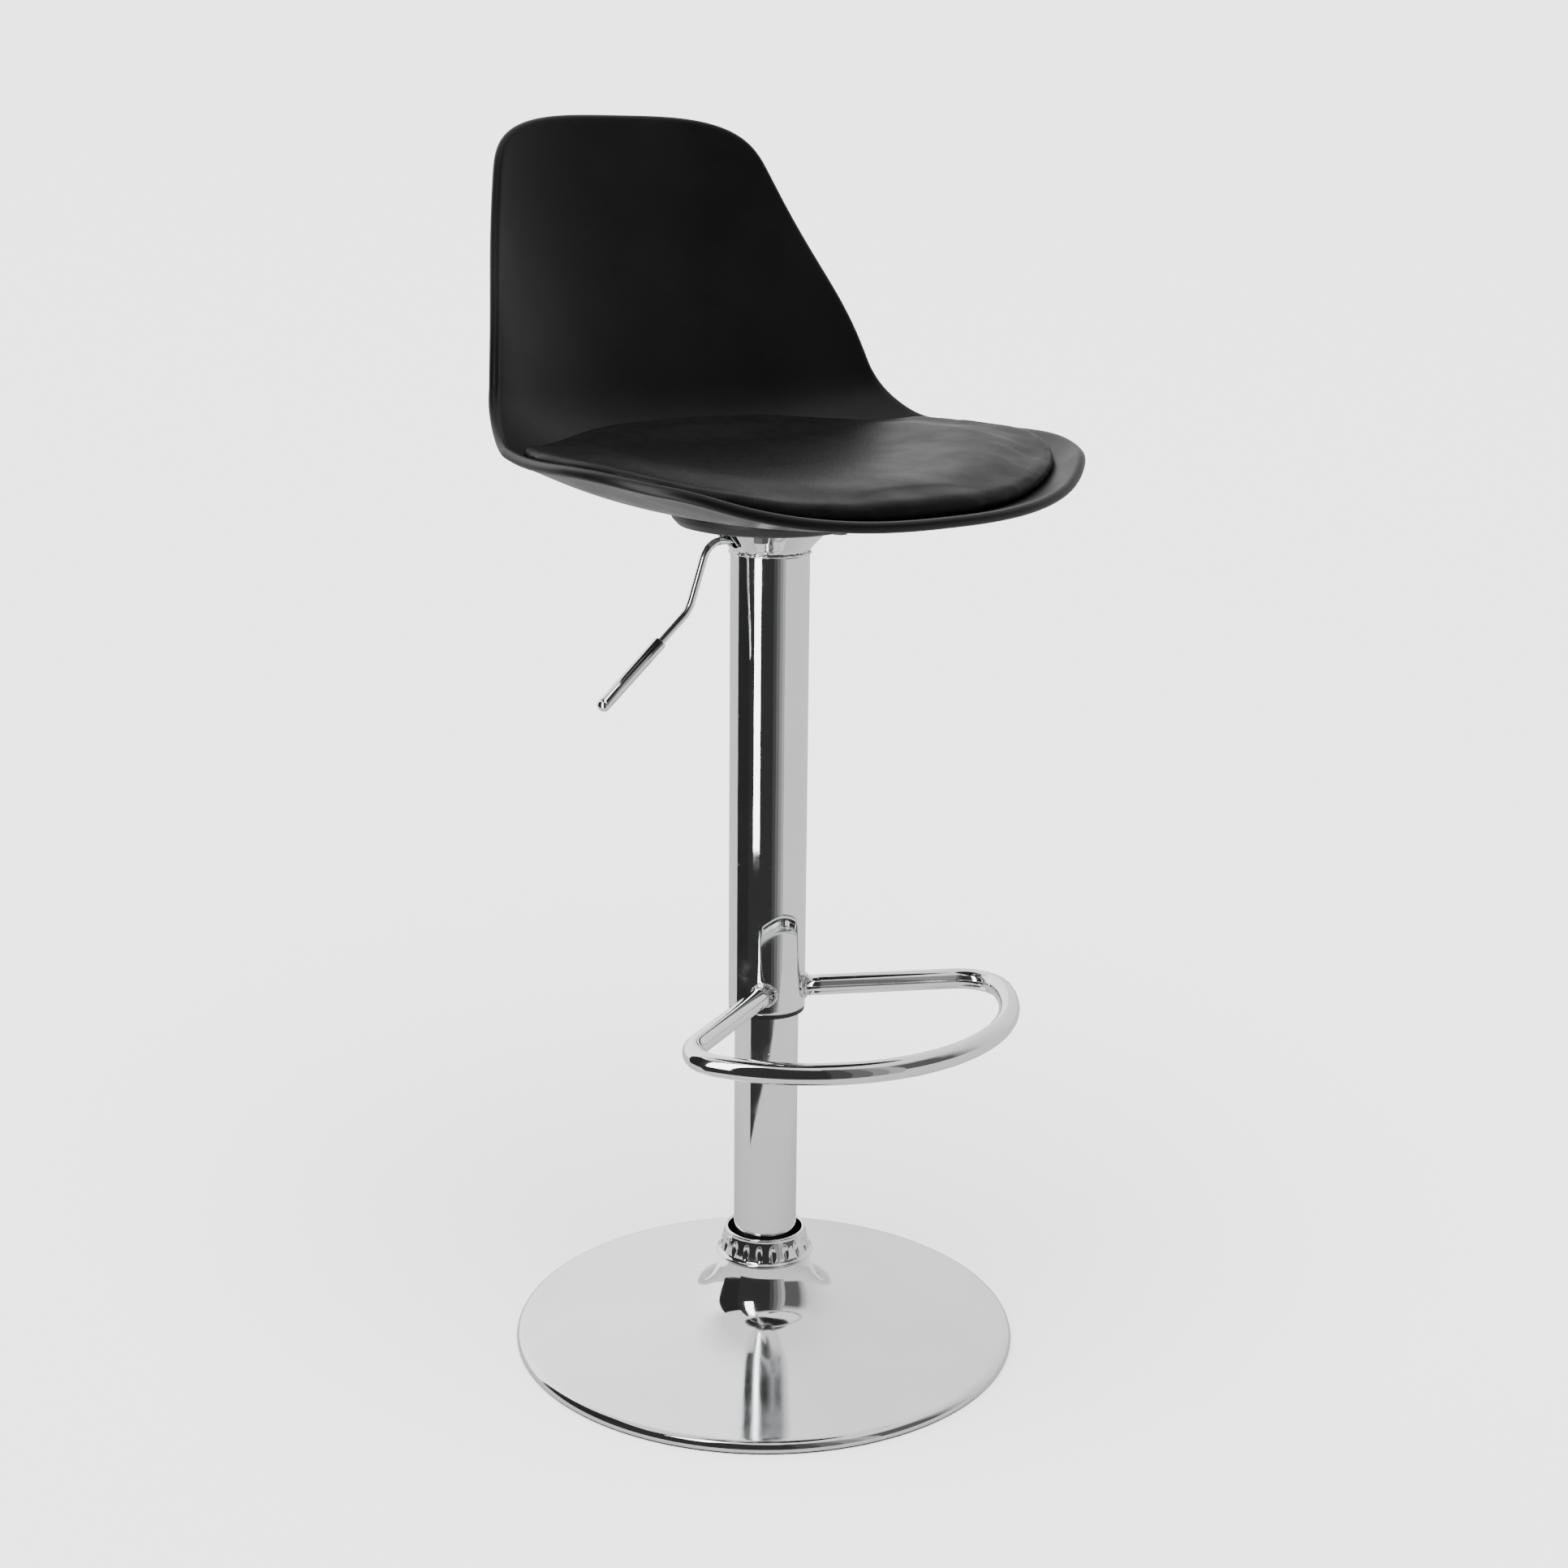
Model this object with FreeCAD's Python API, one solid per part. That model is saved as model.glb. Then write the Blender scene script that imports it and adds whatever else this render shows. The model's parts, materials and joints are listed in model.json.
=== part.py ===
import FreeCAD, Part
import math
import os

# Height-adjustable bar stool with a bucket seat, a gas lift and a bent-tube footrest.
# Millimetres. +Z is up, the sitter faces -Y, and the sitter's right hand is at -X.
# The origin is where the column's axis meets the floor.

V = FreeCAD.Vector
Z_AXIS = V(0, 0, 1)
ORIGIN = V(0, 0, 0)

# ---- base ----
BASE_R = 200.0
FLOOR_RING_T = 3.0
BASE_SHEET = 1.5
BALLAST_R = 186.0
BALLAST_Z = 3.0
BALLAST_T = 4.0
FLANGE_R = 56.0
FLANGE_T = 5.0
FLANGE_Z = BALLAST_Z + BALLAST_T
BASE_SCREW_PCD_R = 42.0
BASE_SCREW_R = 4.0
BASE_SCREW_COUNT = 4
COLLAR_Z = 70.0
COLLAR_TOP = 91.0

# ---- column and gas lift ----
COLUMN_R = 25.0
COLUMN_WALL = 2.0
COLUMN_BOTTOM = 88.0
COLUMN_TOP = 402.0
SPIGOT_TOP = 140.0
FOOT_PLATE_T = 5.0
GUIDE_LENGTH = 32.0
CYLINDER_R = 14.0
CYLINDER_BOTTOM = 200.0
CYLINDER_TOP = 640.0
TAPER_BOTTOM = 585.0
TAPER_TOP_R = 12.5
CYLINDER_BORE_R = 12.5
ROD_R = 5.0
ROD_FOOT_R = 4.0
RUNNING_GAP = 0.05

# ---- sleeve, cone and seat fixing ----
SLEEVE_R = 30.0
SLEEVE_WALL = 1.5
SLEEVE_BOTTOM = 280.0
SLEEVE_TOP = 638.0
CONE_TOP = 657.5
CONE_TOP_R = 46.0
CONE_SHEET = 2.0
CONE_SLOT = 22.0
PLATE_R = 62.0
PLATE_T = 3.0
DISC_R = 75.0
DISC_FOOT_R = 69.0
DISC_BOTTOM = 659.0
BOLT_OFFSET = 37.0
BOLT_R = 3.0
BOSS_R = 9.0
BOSS_BOTTOM = 663.0

# ---- footrest ----
FOOT_TUBE_R = 8.0
FOOT_TUBE_WALL = 1.2
FOOT_Z = 297.0
FOOT_ARM_SLOPE = 0.547
FOOT_ARM_T = 11.2
FOOT_FRONT_R = 155.0
FOOT_FRONT_CENTRE = 50.6
FOOT_CORNER_R = 32.0

# ---- lever ----
LEVER_R = 3.0
LEVER_Z = 650.0
PIVOT_X = -28.0
PIVOT_R = 1.5
GRIP_R = 5.0
LEVER_BEND = V(-57.5, 0, LEVER_Z)
LEVER_KNEE = V(-75.0, 0, 601.0)
LEVER_END = V(-150.0, 0, 540.2)
LEVER_BEND_R = 17.0
LEVER_KNEE_R = 25.0
GRIP_LENGTH = 64.0

# ---- seat shell ----
SHELL_T = 5.0
PROFILE_START = (-203.0, 688.5)
# The centre line from the front lip to the top of the back, as tangent arcs:
# length, heading at its start and at its end, in degrees above the horizontal.
PROFILE = [(65.0, -13.0, -5.0), (100.0, -5.0, 0.0), (95.0, 0.0, 8.0),
           (112.0, 8.0, 74.0), (213.0, 74.0, 72.5)]
SHELL_LENGTH = 586.0
WIDEST_S = 155.0
HALF_WIDTH = 212.0
FRONT_POWER = 2.5
NARROWING = 0.01544
NARROWING_POWER = 1.45
TOP_CORNER = 46.0
TOP_POWER = 3.2
DISH_REFERENCE = 207.0
DISH_DEPTH = 46.0
DISH_POWER = 2.6

# ---- cushion ----
PAD_CENTRE_S = 175.0
PAD_FRONT = 155.0
PAD_BACK = 163.0
PAD_HALF_WIDTH = 199.0
PAD_POWER = 2.4
PAD_EDGE_T = 7.0
PAD_CROWN = 17.0
GLUE_GAP = 0.25
BOARD_T = 3.0
BOARD_INSET = 14.0


# ---------------------------------------------------------------- helpers
def save(name, shape):
    shape.exportStep(os.path.join("parts", name + ".step"))
    print("%-22s solids %2d  volume %12.1f  valid %s" %
          (name, len(shape.Solids), shape.Volume, shape.isValid()))


def rod(radius, z0, z1, x=0.0, y=0.0):
    return Part.makeCylinder(radius, z1 - z0, V(x, y, z0), Z_AXIS)


def ring(outer, inner, z0, z1, x=0.0, y=0.0):
    return rod(outer, z0, z1, x, y).cut(rod(inner, z0 - 1, z1 + 1, x, y))


def turned(points):
    """A solid of revolution about Z from (radius, height) corner points."""
    corners = [V(r, 0, z) for r, z in points]
    wire = Part.makePolygon(corners + [corners[0]])
    return Part.Face(wire).revolve(ORIGIN, Z_AXIS, 360)


def hexagon(across_flats, z0, z1, x, y):
    corner_r = across_flats / math.sqrt(3.0)
    corners = [V(x + corner_r * math.cos(math.radians(60 * k)),
                 y + corner_r * math.sin(math.radians(60 * k)), z0) for k in range(7)]
    return Part.Face(Part.makePolygon(corners)).extrude(V(0, 0, z1 - z0))


def around(make, radius, count, start_deg=0.0):
    """Copies of make(x, y) evenly spaced on a circle, as one compound of separate solids."""
    places = []
    for k in range(count):
        angle = math.radians(start_deg + 360.0 * k / count)
        places.append(make(radius * math.cos(angle), radius * math.sin(angle)))
    return Part.makeCompound(places)


def bolt_places():
    return [(sx * BOLT_OFFSET, sy * BOLT_OFFSET) for sx in (-1, 1) for sy in (-1, 1)]


def bent_path(corners, radii):
    """A wire of straight runs joined by tangent arcs at each inner corner."""
    edges = []
    start = corners[0]
    for k, radius in enumerate(radii):
        corner = corners[k + 1]
        back = (corners[k] - corner).normalize()
        ahead = (corners[k + 2] - corner).normalize()
        half = back.getAngle(ahead) / 2
        reach = radius / math.tan(half)
        first = corner + back * reach
        last = corner + ahead * reach
        bisector = (back + ahead).normalize()
        middle = corner + bisector * (radius / math.sin(half) - radius)
        edges.append(Part.LineSegment(start, first).toShape())
        edges.append(Part.Arc(first, middle, last).toShape())
        start = last
    edges.append(Part.LineSegment(start, corners[-1]).toShape())
    return Part.Wire(edges)


def swept_rod(path, start, direction, radius):
    section = Part.Wire(Part.makeCircle(radius, start, direction))
    return path.makePipeShell([section], True, False)


# ---------------------------------------------------------------- base
def trumpet_line(gap):
    """Half section of the flared cover, gap inside its outer face: neck top to rim."""
    neck = [(36.0, 70.0), (37.3, 60.0), (41.5, 48.0), (50.0, 37.0), (64.0, 29.0),
            (90.0, 21.8), (130.0, 15.6), (170.0, 11.2), (192.0, 9.2)]
    points = []
    for k, (r, z) in enumerate(neck):
        before = neck[max(k - 1, 0)]
        after = neck[min(k + 1, len(neck) - 1)]
        run, fall = after[0] - before[0], before[1] - after[1]
        length = math.hypot(run, fall)
        points.append(V(r - gap * fall / length, 0, z - gap * run / length))
    return points


def base_trumpet():
    outer = Part.BSplineCurve()
    outer.interpolate(trumpet_line(0.0))
    inner = Part.BSplineCurve()
    inner.interpolate(trumpet_line(BASE_SHEET))
    rim_outer = Part.Arc(V(192.0, 0, 9.2), V(198.2, 0, 7.2), V(BASE_R, 0, 3.4)).toShape()
    last = trumpet_line(BASE_SHEET)[-1]
    rim_inner = Part.Arc(last, V(196.8, 0, 5.9), V(BASE_R - BASE_SHEET, 0, 3.4)).toShape()
    neck_top = Part.LineSegment(trumpet_line(0.0)[0], trumpet_line(BASE_SHEET)[0]).toShape()
    lip = Part.makePolygon([V(BASE_R, 0, 3.4), V(BASE_R, 0, 1.6), V(BASE_R - BASE_SHEET, 0, 1.6),
                            V(BASE_R - BASE_SHEET, 0, 3.4)])
    edges = [outer.toShape(), rim_outer] + lip.Edges + [rim_inner, inner.toShape(), neck_top]
    wire = Part.Wire(Part.__sortEdges__(edges))
    return Part.Face(wire).revolve(ORIGIN, Z_AXIS, 360)


def one_screw(x, y):
    """A countersunk screw, its head flush with the underside of the ballast plate."""
    head = Part.makeCone(7.4, BASE_SCREW_R, 3.4, V(x, y, BALLAST_Z), Z_AXIS)
    shank = rod(BASE_SCREW_R, BALLAST_Z, FLANGE_Z + FLANGE_T, x, y)
    return head.fuse(shank).removeSplitter()


def screw_envelopes():
    return around(one_screw, BASE_SCREW_PCD_R, BASE_SCREW_COUNT, 45)


def base_screws():
    def socketed(x, y):
        return one_screw(x, y).cut(hexagon(5.0, BALLAST_Z - 1, BALLAST_Z + 2.2, x, y))
    return around(socketed, BASE_SCREW_PCD_R, BASE_SCREW_COUNT, 45)


def ballast_plate():
    plate = ring(BALLAST_R, 14.0, BALLAST_Z, BALLAST_Z + BALLAST_T)
    return plate.cut(screw_envelopes())


def column_flange():
    flange = ring(FLANGE_R, COLUMN_R - COLUMN_WALL, FLANGE_Z, FLANGE_Z + FLANGE_T)
    return flange.cut(screw_envelopes())


def base_collar():
    """Turned decorative collar with a foot bead, a row of oval dimples and a rolled top."""
    body = turned([(33.2, COLLAR_Z), (38.0, COLLAR_Z), (38.6, COLLAR_Z + 1.6), (37.4, COLLAR_Z + 3.2),
                   (35.6, COLLAR_Z + 6), (32.4, COLLAR_TOP - 3.0), (31.8, COLLAR_TOP - 0.8),
                   (30.8, COLLAR_TOP), (29.6, COLLAR_TOP - 0.6), (29.4, COLLAR_TOP - 4),
                   (32.0, COLLAR_Z + 6)])
    dimple_count = 20
    for k in range(dimple_count):
        turn = 360.0 * k / dimple_count
        cutter = Part.makeSphere(1.0, V(0, 0, 0))
        shape = FreeCAD.Matrix()
        shape.scale(1.1, 2.3, 5.6)
        cutter = cutter.transformGeometry(shape)
        cutter.rotate(ORIGIN, V(0, 1, 0), -15)
        cutter.translate(V(34.6, 0, (COLLAR_Z + COLLAR_TOP) / 2 + 0.5))
        cutter.rotate(ORIGIN, Z_AXIS, turn)
        body = body.cut(cutter)
    return body


def column_guide_bush():
    """Plastic guide in the column's mouth that the gas cylinder slides through."""
    bore = CYLINDER_R + RUNNING_GAP
    skirt = ring(COLUMN_R - COLUMN_WALL, bore, COLUMN_TOP - 2 - GUIDE_LENGTH, COLUMN_TOP - 2)
    return skirt.fuse(ring(COLUMN_R - 0.3, bore, COLUMN_TOP - 2, COLUMN_TOP)).removeSplitter()


def bearing_balls():
    return around(lambda x, y: Part.makeSphere(1.45, V(x, y, 15.5)), 8.5, 12)


def ball_cage():
    cage = ring(11.0, 6.0, 14.6, 16.4)
    return cage.cut(around(lambda x, y: Part.makeSphere(1.6, V(x, y, 15.5)), 8.5, 12))


# ---------------------------------------------------------------- rod and gas spring
def piston_rod():
    """Ground rod with a reduced foot, which stands on the thrust bearing."""
    rod_body = turned([(0, 4.0), (ROD_FOOT_R, 4.0), (ROD_FOOT_R, 18.4), (ROD_R, 18.4),
                       (ROD_R, 236.0), (3.0, 236.0), (3.0, 242.0), (0, 242.0)])
    return rod_body.cut(ring(6.0, 3.2, 5.0, 6.0))


def gas_cylinder():
    return turned([(CYLINDER_BORE_R, CYLINDER_BOTTOM), (CYLINDER_R, CYLINDER_BOTTOM),
                   (CYLINDER_R, TAPER_BOTTOM), (TAPER_TOP_R, CYLINDER_TOP), (3.05, CYLINDER_TOP),
                   (3.05, CYLINDER_TOP - 12), (9.5, CYLINDER_TOP - 12), (9.5, 596.0),
                   (CYLINDER_BORE_R, 560.0)])


def taper_socket():
    """Steel socket, welded in the sleeve, that grips the cylinder's tapered head."""
    lower_r = CYLINDER_R + (TAPER_TOP_R - CYLINDER_R) * (592.0 - TAPER_BOTTOM) / (CYLINDER_TOP - TAPER_BOTTOM)
    upper_r = CYLINDER_R + (TAPER_TOP_R - CYLINDER_R) * (636.0 - TAPER_BOTTOM) / (CYLINDER_TOP - TAPER_BOTTOM)
    return turned([(lower_r, 592.0), (17.5, 592.0), (17.5, 636.0), (upper_r, 636.0)])


# ---------------------------------------------------------------- sleeve and cone
def sleeve_bush():
    """Plastic bush at the sleeve's foot, which runs on the column and shows as a thin ring."""
    bore = COLUMN_R + RUNNING_GAP
    skirt = ring(SLEEVE_R - SLEEVE_WALL, bore, SLEEVE_BOTTOM, SLEEVE_BOTTOM + 40)
    return skirt.fuse(ring(SLEEVE_R - 0.4, bore, SLEEVE_BOTTOM - 3, SLEEVE_BOTTOM)).removeSplitter()


def mounting_cone():
    """Pressed flare between the sleeve and the seat plate, slotted for the lever."""
    cone = turned([(SLEEVE_R - CONE_SHEET, SLEEVE_TOP), (SLEEVE_R, SLEEVE_TOP), (SLEEVE_R, SLEEVE_TOP + 2.5),
                   (CONE_TOP_R, CONE_TOP), (CONE_TOP_R - 3.0, CONE_TOP),
                   (SLEEVE_R - CONE_SHEET, SLEEVE_TOP + 3.5)])
    slot = Part.makeBox(40, CONE_SLOT, 30, V(PIVOT_X - 32, -CONE_SLOT / 2, SLEEVE_TOP + 6.5))
    return cone.cut(slot)


def seat_plate():
    plate = rod(PLATE_R, CONE_TOP, CONE_TOP + PLATE_T)
    for x, y in bolt_places():
        plate = plate.cut(rod(BOLT_R + 0.3, CONE_TOP - 1, CONE_TOP + PLATE_T + 1, x, y))
    return plate


def lever_bracket():
    """A U of sheet steel under the seat plate; the lever's pivot pin passes through its ears."""
    top = CONE_TOP
    bridge = Part.makeBox(22, 13, 1.6, V(-38, -6.5, top - 1.6))
    corners = [V(-44.5, 0, top), V(-16, 0, top), V(-16, 0, 645.5), V(-34.5, 0, 645.5)]
    ear = Part.Face(Part.makePolygon(corners + [corners[0]])).extrude(V(0, 1.8, 0))
    ears = []
    for y in (-6.5, 4.7):
        side = ear.copy()
        side.translate(V(0, y, 0))
        ears.append(side)
    bracket = bridge.fuse(ears).removeSplitter()
    return bracket.cut(Part.makeCylinder(PIVOT_R, 30, V(PIVOT_X, -15, LEVER_Z), V(0, 1, 0)))


def lever_path(start_x, end):
    return [V(start_x, 0, LEVER_Z), LEVER_BEND, LEVER_KNEE, end]


def lever_rod():
    """Bent rod: its inner end lies on the release pin, its outer end carries the grip."""
    along = (LEVER_END - LEVER_KNEE).normalize()
    tip = LEVER_END - along * 6.0
    path = bent_path(lever_path(4.0, tip), [LEVER_BEND_R, LEVER_KNEE_R])
    body = swept_rod(path, V(4.0, 0, LEVER_Z), V(-1, 0, 0), LEVER_R)
    pivot_hole = Part.makeCylinder(PIVOT_R + RUNNING_GAP, 30, V(PIVOT_X, -15, LEVER_Z), V(0, 1, 0))
    return body.cut(pivot_hole)


def lever_grip():
    """Plated tube over the lever's outer end."""
    along = (LEVER_END - LEVER_KNEE).normalize()
    start = LEVER_END - along * GRIP_LENGTH
    grip = Part.makeCylinder(GRIP_R, GRIP_LENGTH, start, along)
    return grip.cut(Part.makeCylinder(LEVER_R, GRIP_LENGTH - 6.0, start, along))


def lever_end_cap():
    along = (LEVER_END - LEVER_KNEE).normalize()
    dome = Part.makeSphere(GRIP_R, LEVER_END)
    behind = Part.makeCylinder(GRIP_R + 1, GRIP_R + 2, LEVER_END - along * (GRIP_R + 2), along)
    return dome.cut(behind)


# ---------------------------------------------------------------- footrest
def footrest_tube():
    """One bent tube: two straight arms from the sleeve, round corners and a bowed front."""
    slope_angle = math.atan(FOOT_ARM_SLOPE)
    inner_r = FOOT_FRONT_R - FOOT_CORNER_R
    # The corner arc's centre is FOOT_CORNER_R ahead of the arm's line and inner_r from the
    # front arc's centre; t is measured forward from the axis and s to the side.
    lift = FOOT_ARM_T + FOOT_CORNER_R / math.cos(slope_angle) - FOOT_FRONT_CENTRE
    a = 1 + FOOT_ARM_SLOPE ** 2
    b = 2 * FOOT_ARM_SLOPE * lift
    c = lift ** 2 - inner_r ** 2
    s_c = (-b + math.sqrt(b * b - 4 * a * c)) / (2 * a)
    t_c = FOOT_FRONT_CENTRE + lift + FOOT_ARM_SLOPE * s_c
    on_arm = (s_c + FOOT_CORNER_R * math.sin(slope_angle), t_c - FOOT_CORNER_R * math.cos(slope_angle))
    out = math.atan2(t_c - FOOT_FRONT_CENTRE, s_c)
    on_front = (s_c + FOOT_CORNER_R * math.cos(out), t_c + FOOT_CORNER_R * math.sin(out))
    mid_angle = (out + slope_angle - math.pi / 2) / 2
    mid = (s_c + FOOT_CORNER_R * math.cos(mid_angle), t_c + FOOT_CORNER_R * math.sin(mid_angle))
    root = (16.0, FOOT_ARM_T + FOOT_ARM_SLOPE * 16.0)

    def at(point, side):
        return V(side * point[0], -point[1], FOOT_Z)

    def half(side):
        return [Part.LineSegment(at(root, side), at(on_arm, side)).toShape(),
                Part.Arc(at(on_arm, side), at(mid, side), at(on_front, side)).toShape()]

    nose = V(0, -(FOOT_FRONT_CENTRE + FOOT_FRONT_R), FOOT_Z)
    front = Part.Arc(at(on_front, -1), nose, at(on_front, 1)).toShape()
    path = Part.Wire(Part.__sortEdges__(half(-1) + [front] + half(1)))
    direction = at(on_arm, -1) - at(root, -1)
    solid = swept_rod(path, at(root, -1), direction, FOOT_TUBE_R)
    hollow = swept_rod(path, at(root, -1), direction, FOOT_TUBE_R - FOOT_TUBE_WALL)
    return solid.cut(hollow).cut(rod(SLEEVE_R, FOOT_Z - 30, FOOT_Z + 30))


# ---------------------------------------------------------------- seat shell
def centre_line(s):
    """Height, depth and heading of the shell's centre line at length s from the front lip."""
    y, z = PROFILE_START
    heading = math.radians(PROFILE[0][1])
    left = s
    if s < 0:
        return y + s * math.cos(heading), z + s * math.sin(heading), heading
    for length, start, end in PROFILE:
        start, end = math.radians(start), math.radians(end)
        part = min(left, length)
        bend = (end - start) / length
        heading = start + bend * part
        y += (math.sin(heading) - math.sin(start)) / bend
        z += (math.cos(start) - math.cos(heading)) / bend
        left -= part
        if left <= 0:
            return y, z, heading
    return y + left * math.cos(heading), z + left * math.sin(heading), heading


def dish(x, s):
    """How far the shell's surface rises towards its edges, along the centre line's normal."""
    waist = 8.0 * math.exp(-((s - 315.0) / 55.0) ** 2)
    shoulder = 4.0 * math.exp(-((s - 50.0) / 22.0) ** 2)
    wing = 18.0 * math.exp(-((s - 420.0) / 70.0) ** 2)
    return (DISH_DEPTH + waist + wing + shoulder) * (abs(x) / DISH_REFERENCE) ** DISH_POWER


def on_shell(x, s, offset=0.0):
    """A point offset from the shell's sitting surface, positive towards the sitter."""
    y, z, heading = centre_line(s)
    rise = dish(x, s) + offset
    return V(x, y - math.sin(heading) * rise, z + math.cos(heading) * rise)


def half_width(s):
    """Half the shell's width at length s: round front, narrowing back, round top corners."""
    if s < WIDEST_S:
        ahead = (WIDEST_S - s) / WIDEST_S
        return HALF_WIDTH * max(1 - ahead ** FRONT_POWER, 0.0) ** (1 / FRONT_POWER)
    width = HALF_WIDTH - NARROWING * (s - WIDEST_S) ** NARROWING_POWER
    width += 3.0 * math.exp(-((s - 400.0) / 70.0) ** 2)
    corner = (s - (SHELL_LENGTH - TOP_CORNER)) / TOP_CORNER
    if corner > 0:
        width *= max(1 - corner ** TOP_POWER, 0.0) ** (1 / TOP_POWER)
    return width


def smooth_face(offset, widths, lengths):
    grid = [[on_shell(x, s, offset(x, s)) for s in lengths] for x in widths]
    surface = Part.BSplineSurface()
    surface.interpolate(grid)
    return surface.toShape()


def slab(lower, upper, half, s0, s1, s_count):
    """A wide closed slab between two offset surfaces, to be trimmed by an outline."""
    widths = [half * k / 6.0 for k in range(-6, 7)]
    lengths = [s0 + (s1 - s0) * k / (s_count - 1.0) for k in range(s_count)]
    bottom = smooth_face(lower, widths, lengths)
    top = smooth_face(upper, widths, lengths)
    faces = [bottom, top]
    for a, b in zip(bottom.Edges, top.Edges):
        faces.append(Part.makeRuledSurface(a, b))
    shell = Part.makeShell(faces)
    shell.sewShape()
    solid = Part.Solid(shell)
    if solid.Volume < 0:
        solid.reverse()
    return solid


def outline_face(points, closing):
    """A planar face inside a smooth curve through points, closed by straight lines."""
    curve = Part.BSplineCurve()
    curve.interpolate(points)
    corners = [points[-1]] + closing + [points[0]]
    lines = Part.makePolygon(corners).Edges
    return Part.Face(Part.Wire(Part.__sortEdges__([curve.toShape()] + lines)))


def mirrored(points):
    return [V(-p.x, p.y, p.z) for p in reversed(points) if p.x > 1e-6] + points


def steps(count):
    return [k * math.pi / 2 / count for k in range(count + 1)]


def shell_rim():
    """Points along the right-hand half of the rim as (x, s), front centre to top centre."""
    front = [WIDEST_S * (1 - math.cos(t) ** (2 / FRONT_POWER)) for t in steps(14)[:-1]]
    side_end = SHELL_LENGTH - TOP_CORNER
    side = [WIDEST_S + (side_end - WIDEST_S) * k / 16.0 for k in range(17)]
    top = [side_end + TOP_CORNER * math.sin(t) for t in steps(9)[1:]]
    return [(half_width(s), s) for s in front + side + top]


def seat_shell():
    """One-piece moulded bucket: 5 mm sheet with four bosses for the fixing bolts."""
    body = slab(lambda x, s: -SHELL_T, lambda x, s: 0.0, 232.0, -14.0, 604.0, 40)
    rim = [on_shell(x, s) for x, s in shell_rim()]
    split = [k for k, p in enumerate(rim) if p.z > rim[0].z + 48.0 and p.y > 50.0][0]
    half_plan = [V(p.x, p.y, 600.0) for p in rim[:split + 1]]
    plan = mirrored(half_plan)
    y_cut = half_plan[-1].y
    seat_tool = outline_face(plan, []).extrude(V(0, 0, 220))
    half_front = [V(p.x, y_cut, p.z) for p in rim[split:]]
    over = half_front + [V(-p.x, p.y, p.z) for p in reversed(half_front) if p.x > 1e-6]
    foot = [V(over[-1].x, y_cut, 600.0), V(over[0].x, y_cut, 600.0)]
    back_tool = outline_face(over, foot).extrude(V(0, 240, 0))
    body = body.common(seat_tool.fuse(back_tool))
    for x, y in bolt_places():
        boss = rod(BOSS_R, BOSS_BOTTOM, 676.0, x, y).cut(space_above(-SHELL_T / 2))
        body = body.fuse(boss)
    for x, y in bolt_places():
        body = body.cut(rod(4.5, BOSS_BOTTOM - 1, 671.5, x, y))
    return body.removeSplitter()


def space_above(offset):
    """The space above the middle of the shell, from an offset of its sitting surface up."""
    return slab(lambda x, s: offset, lambda x, s: 60.0, 110.0, 60.0, 320.0, 14)


def seat_disc():
    """Moulded spacer that hides the seat plate; its top follows the shell."""
    body = turned([(0, DISC_BOTTOM), (DISC_FOOT_R, DISC_BOTTOM), (DISC_R - 1.2, DISC_BOTTOM + 5),
                   (DISC_R, DISC_BOTTOM + 9), (DISC_R, 700.0), (0, 700.0)])
    body = body.cut(space_above(-SHELL_T - GLUE_GAP))
    body = body.cut(rod(PLATE_R + 0.3, DISC_BOTTOM - 1, CONE_TOP + PLATE_T))
    for x, y in bolt_places():
        body = body.cut(rod(BOSS_R, DISC_BOTTOM - 1, 700.0, x, y))
    return body


def seat_bolts():
    def one(x, y):
        head = hexagon(10.0, CONE_TOP - 5.2, CONE_TOP - 1.2, x, y)
        return head.fuse(rod(BOLT_R, CONE_TOP - 1.2, 670.5, x, y)).removeSplitter()
    return Part.makeCompound([one(x, y) for x, y in bolt_places()])


def seat_washers():
    return Part.makeCompound([ring(6.0, BOLT_R, CONE_TOP - 1.2, CONE_TOP, x, y)
                              for x, y in bolt_places()])


def threaded_inserts():
    return Part.makeCompound([ring(4.5, BOLT_R, BOSS_BOTTOM, 671.5, x, y)
                              for x, y in bolt_places()])


# ---------------------------------------------------------------- cushion
def pad_outline(inset, height):
    """Plan outline of the cushion as one smooth closed curve, inset from its edge."""
    points = []
    for k in range(48):
        angle = 2 * math.pi * k / 48
        along, across = math.cos(angle), math.sin(angle)
        length = (PAD_BACK if along > 0 else PAD_FRONT) - inset
        s = PAD_CENTRE_S + math.copysign(length * abs(along) ** (2 / PAD_POWER), along)
        x = math.copysign((PAD_HALF_WIDTH - inset) * abs(across) ** (2 / PAD_POWER), across)
        point = on_shell(x, s, height)
        points.append(V(point.x, point.y, 600.0))
    curve = Part.BSplineCurve()
    curve.interpolate(points, PeriodicFlag=True)
    return Part.Face(Part.Wire([curve.toShape()]))


def pad_thickness(x, s):
    """Full in the middle and thin at the edge."""
    reach = PAD_BACK if s > PAD_CENTRE_S else PAD_FRONT
    spread = (abs(x) / PAD_HALF_WIDTH) ** 2 + (abs(s - PAD_CENTRE_S) / reach) ** 2
    return PAD_EDGE_T + PAD_CROWN * max(1 - spread, -0.3)


def pad_board():
    body = slab(lambda x, s: GLUE_GAP, lambda x, s: GLUE_GAP + BOARD_T, 200.0, 8.0, 344.0, 20)
    return body.common(pad_outline(BOARD_INSET, 2.0).extrude(V(0, 0, 240)))


def seat_pad():
    base = BOARD_T + 2 * GLUE_GAP
    body = slab(lambda x, s: base, lambda x, s: base + pad_thickness(x, s), 212.0, 8.0, 352.0, 20)
    return body.common(pad_outline(0.0, base + 2).extrude(V(0, 0, 240)))


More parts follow.
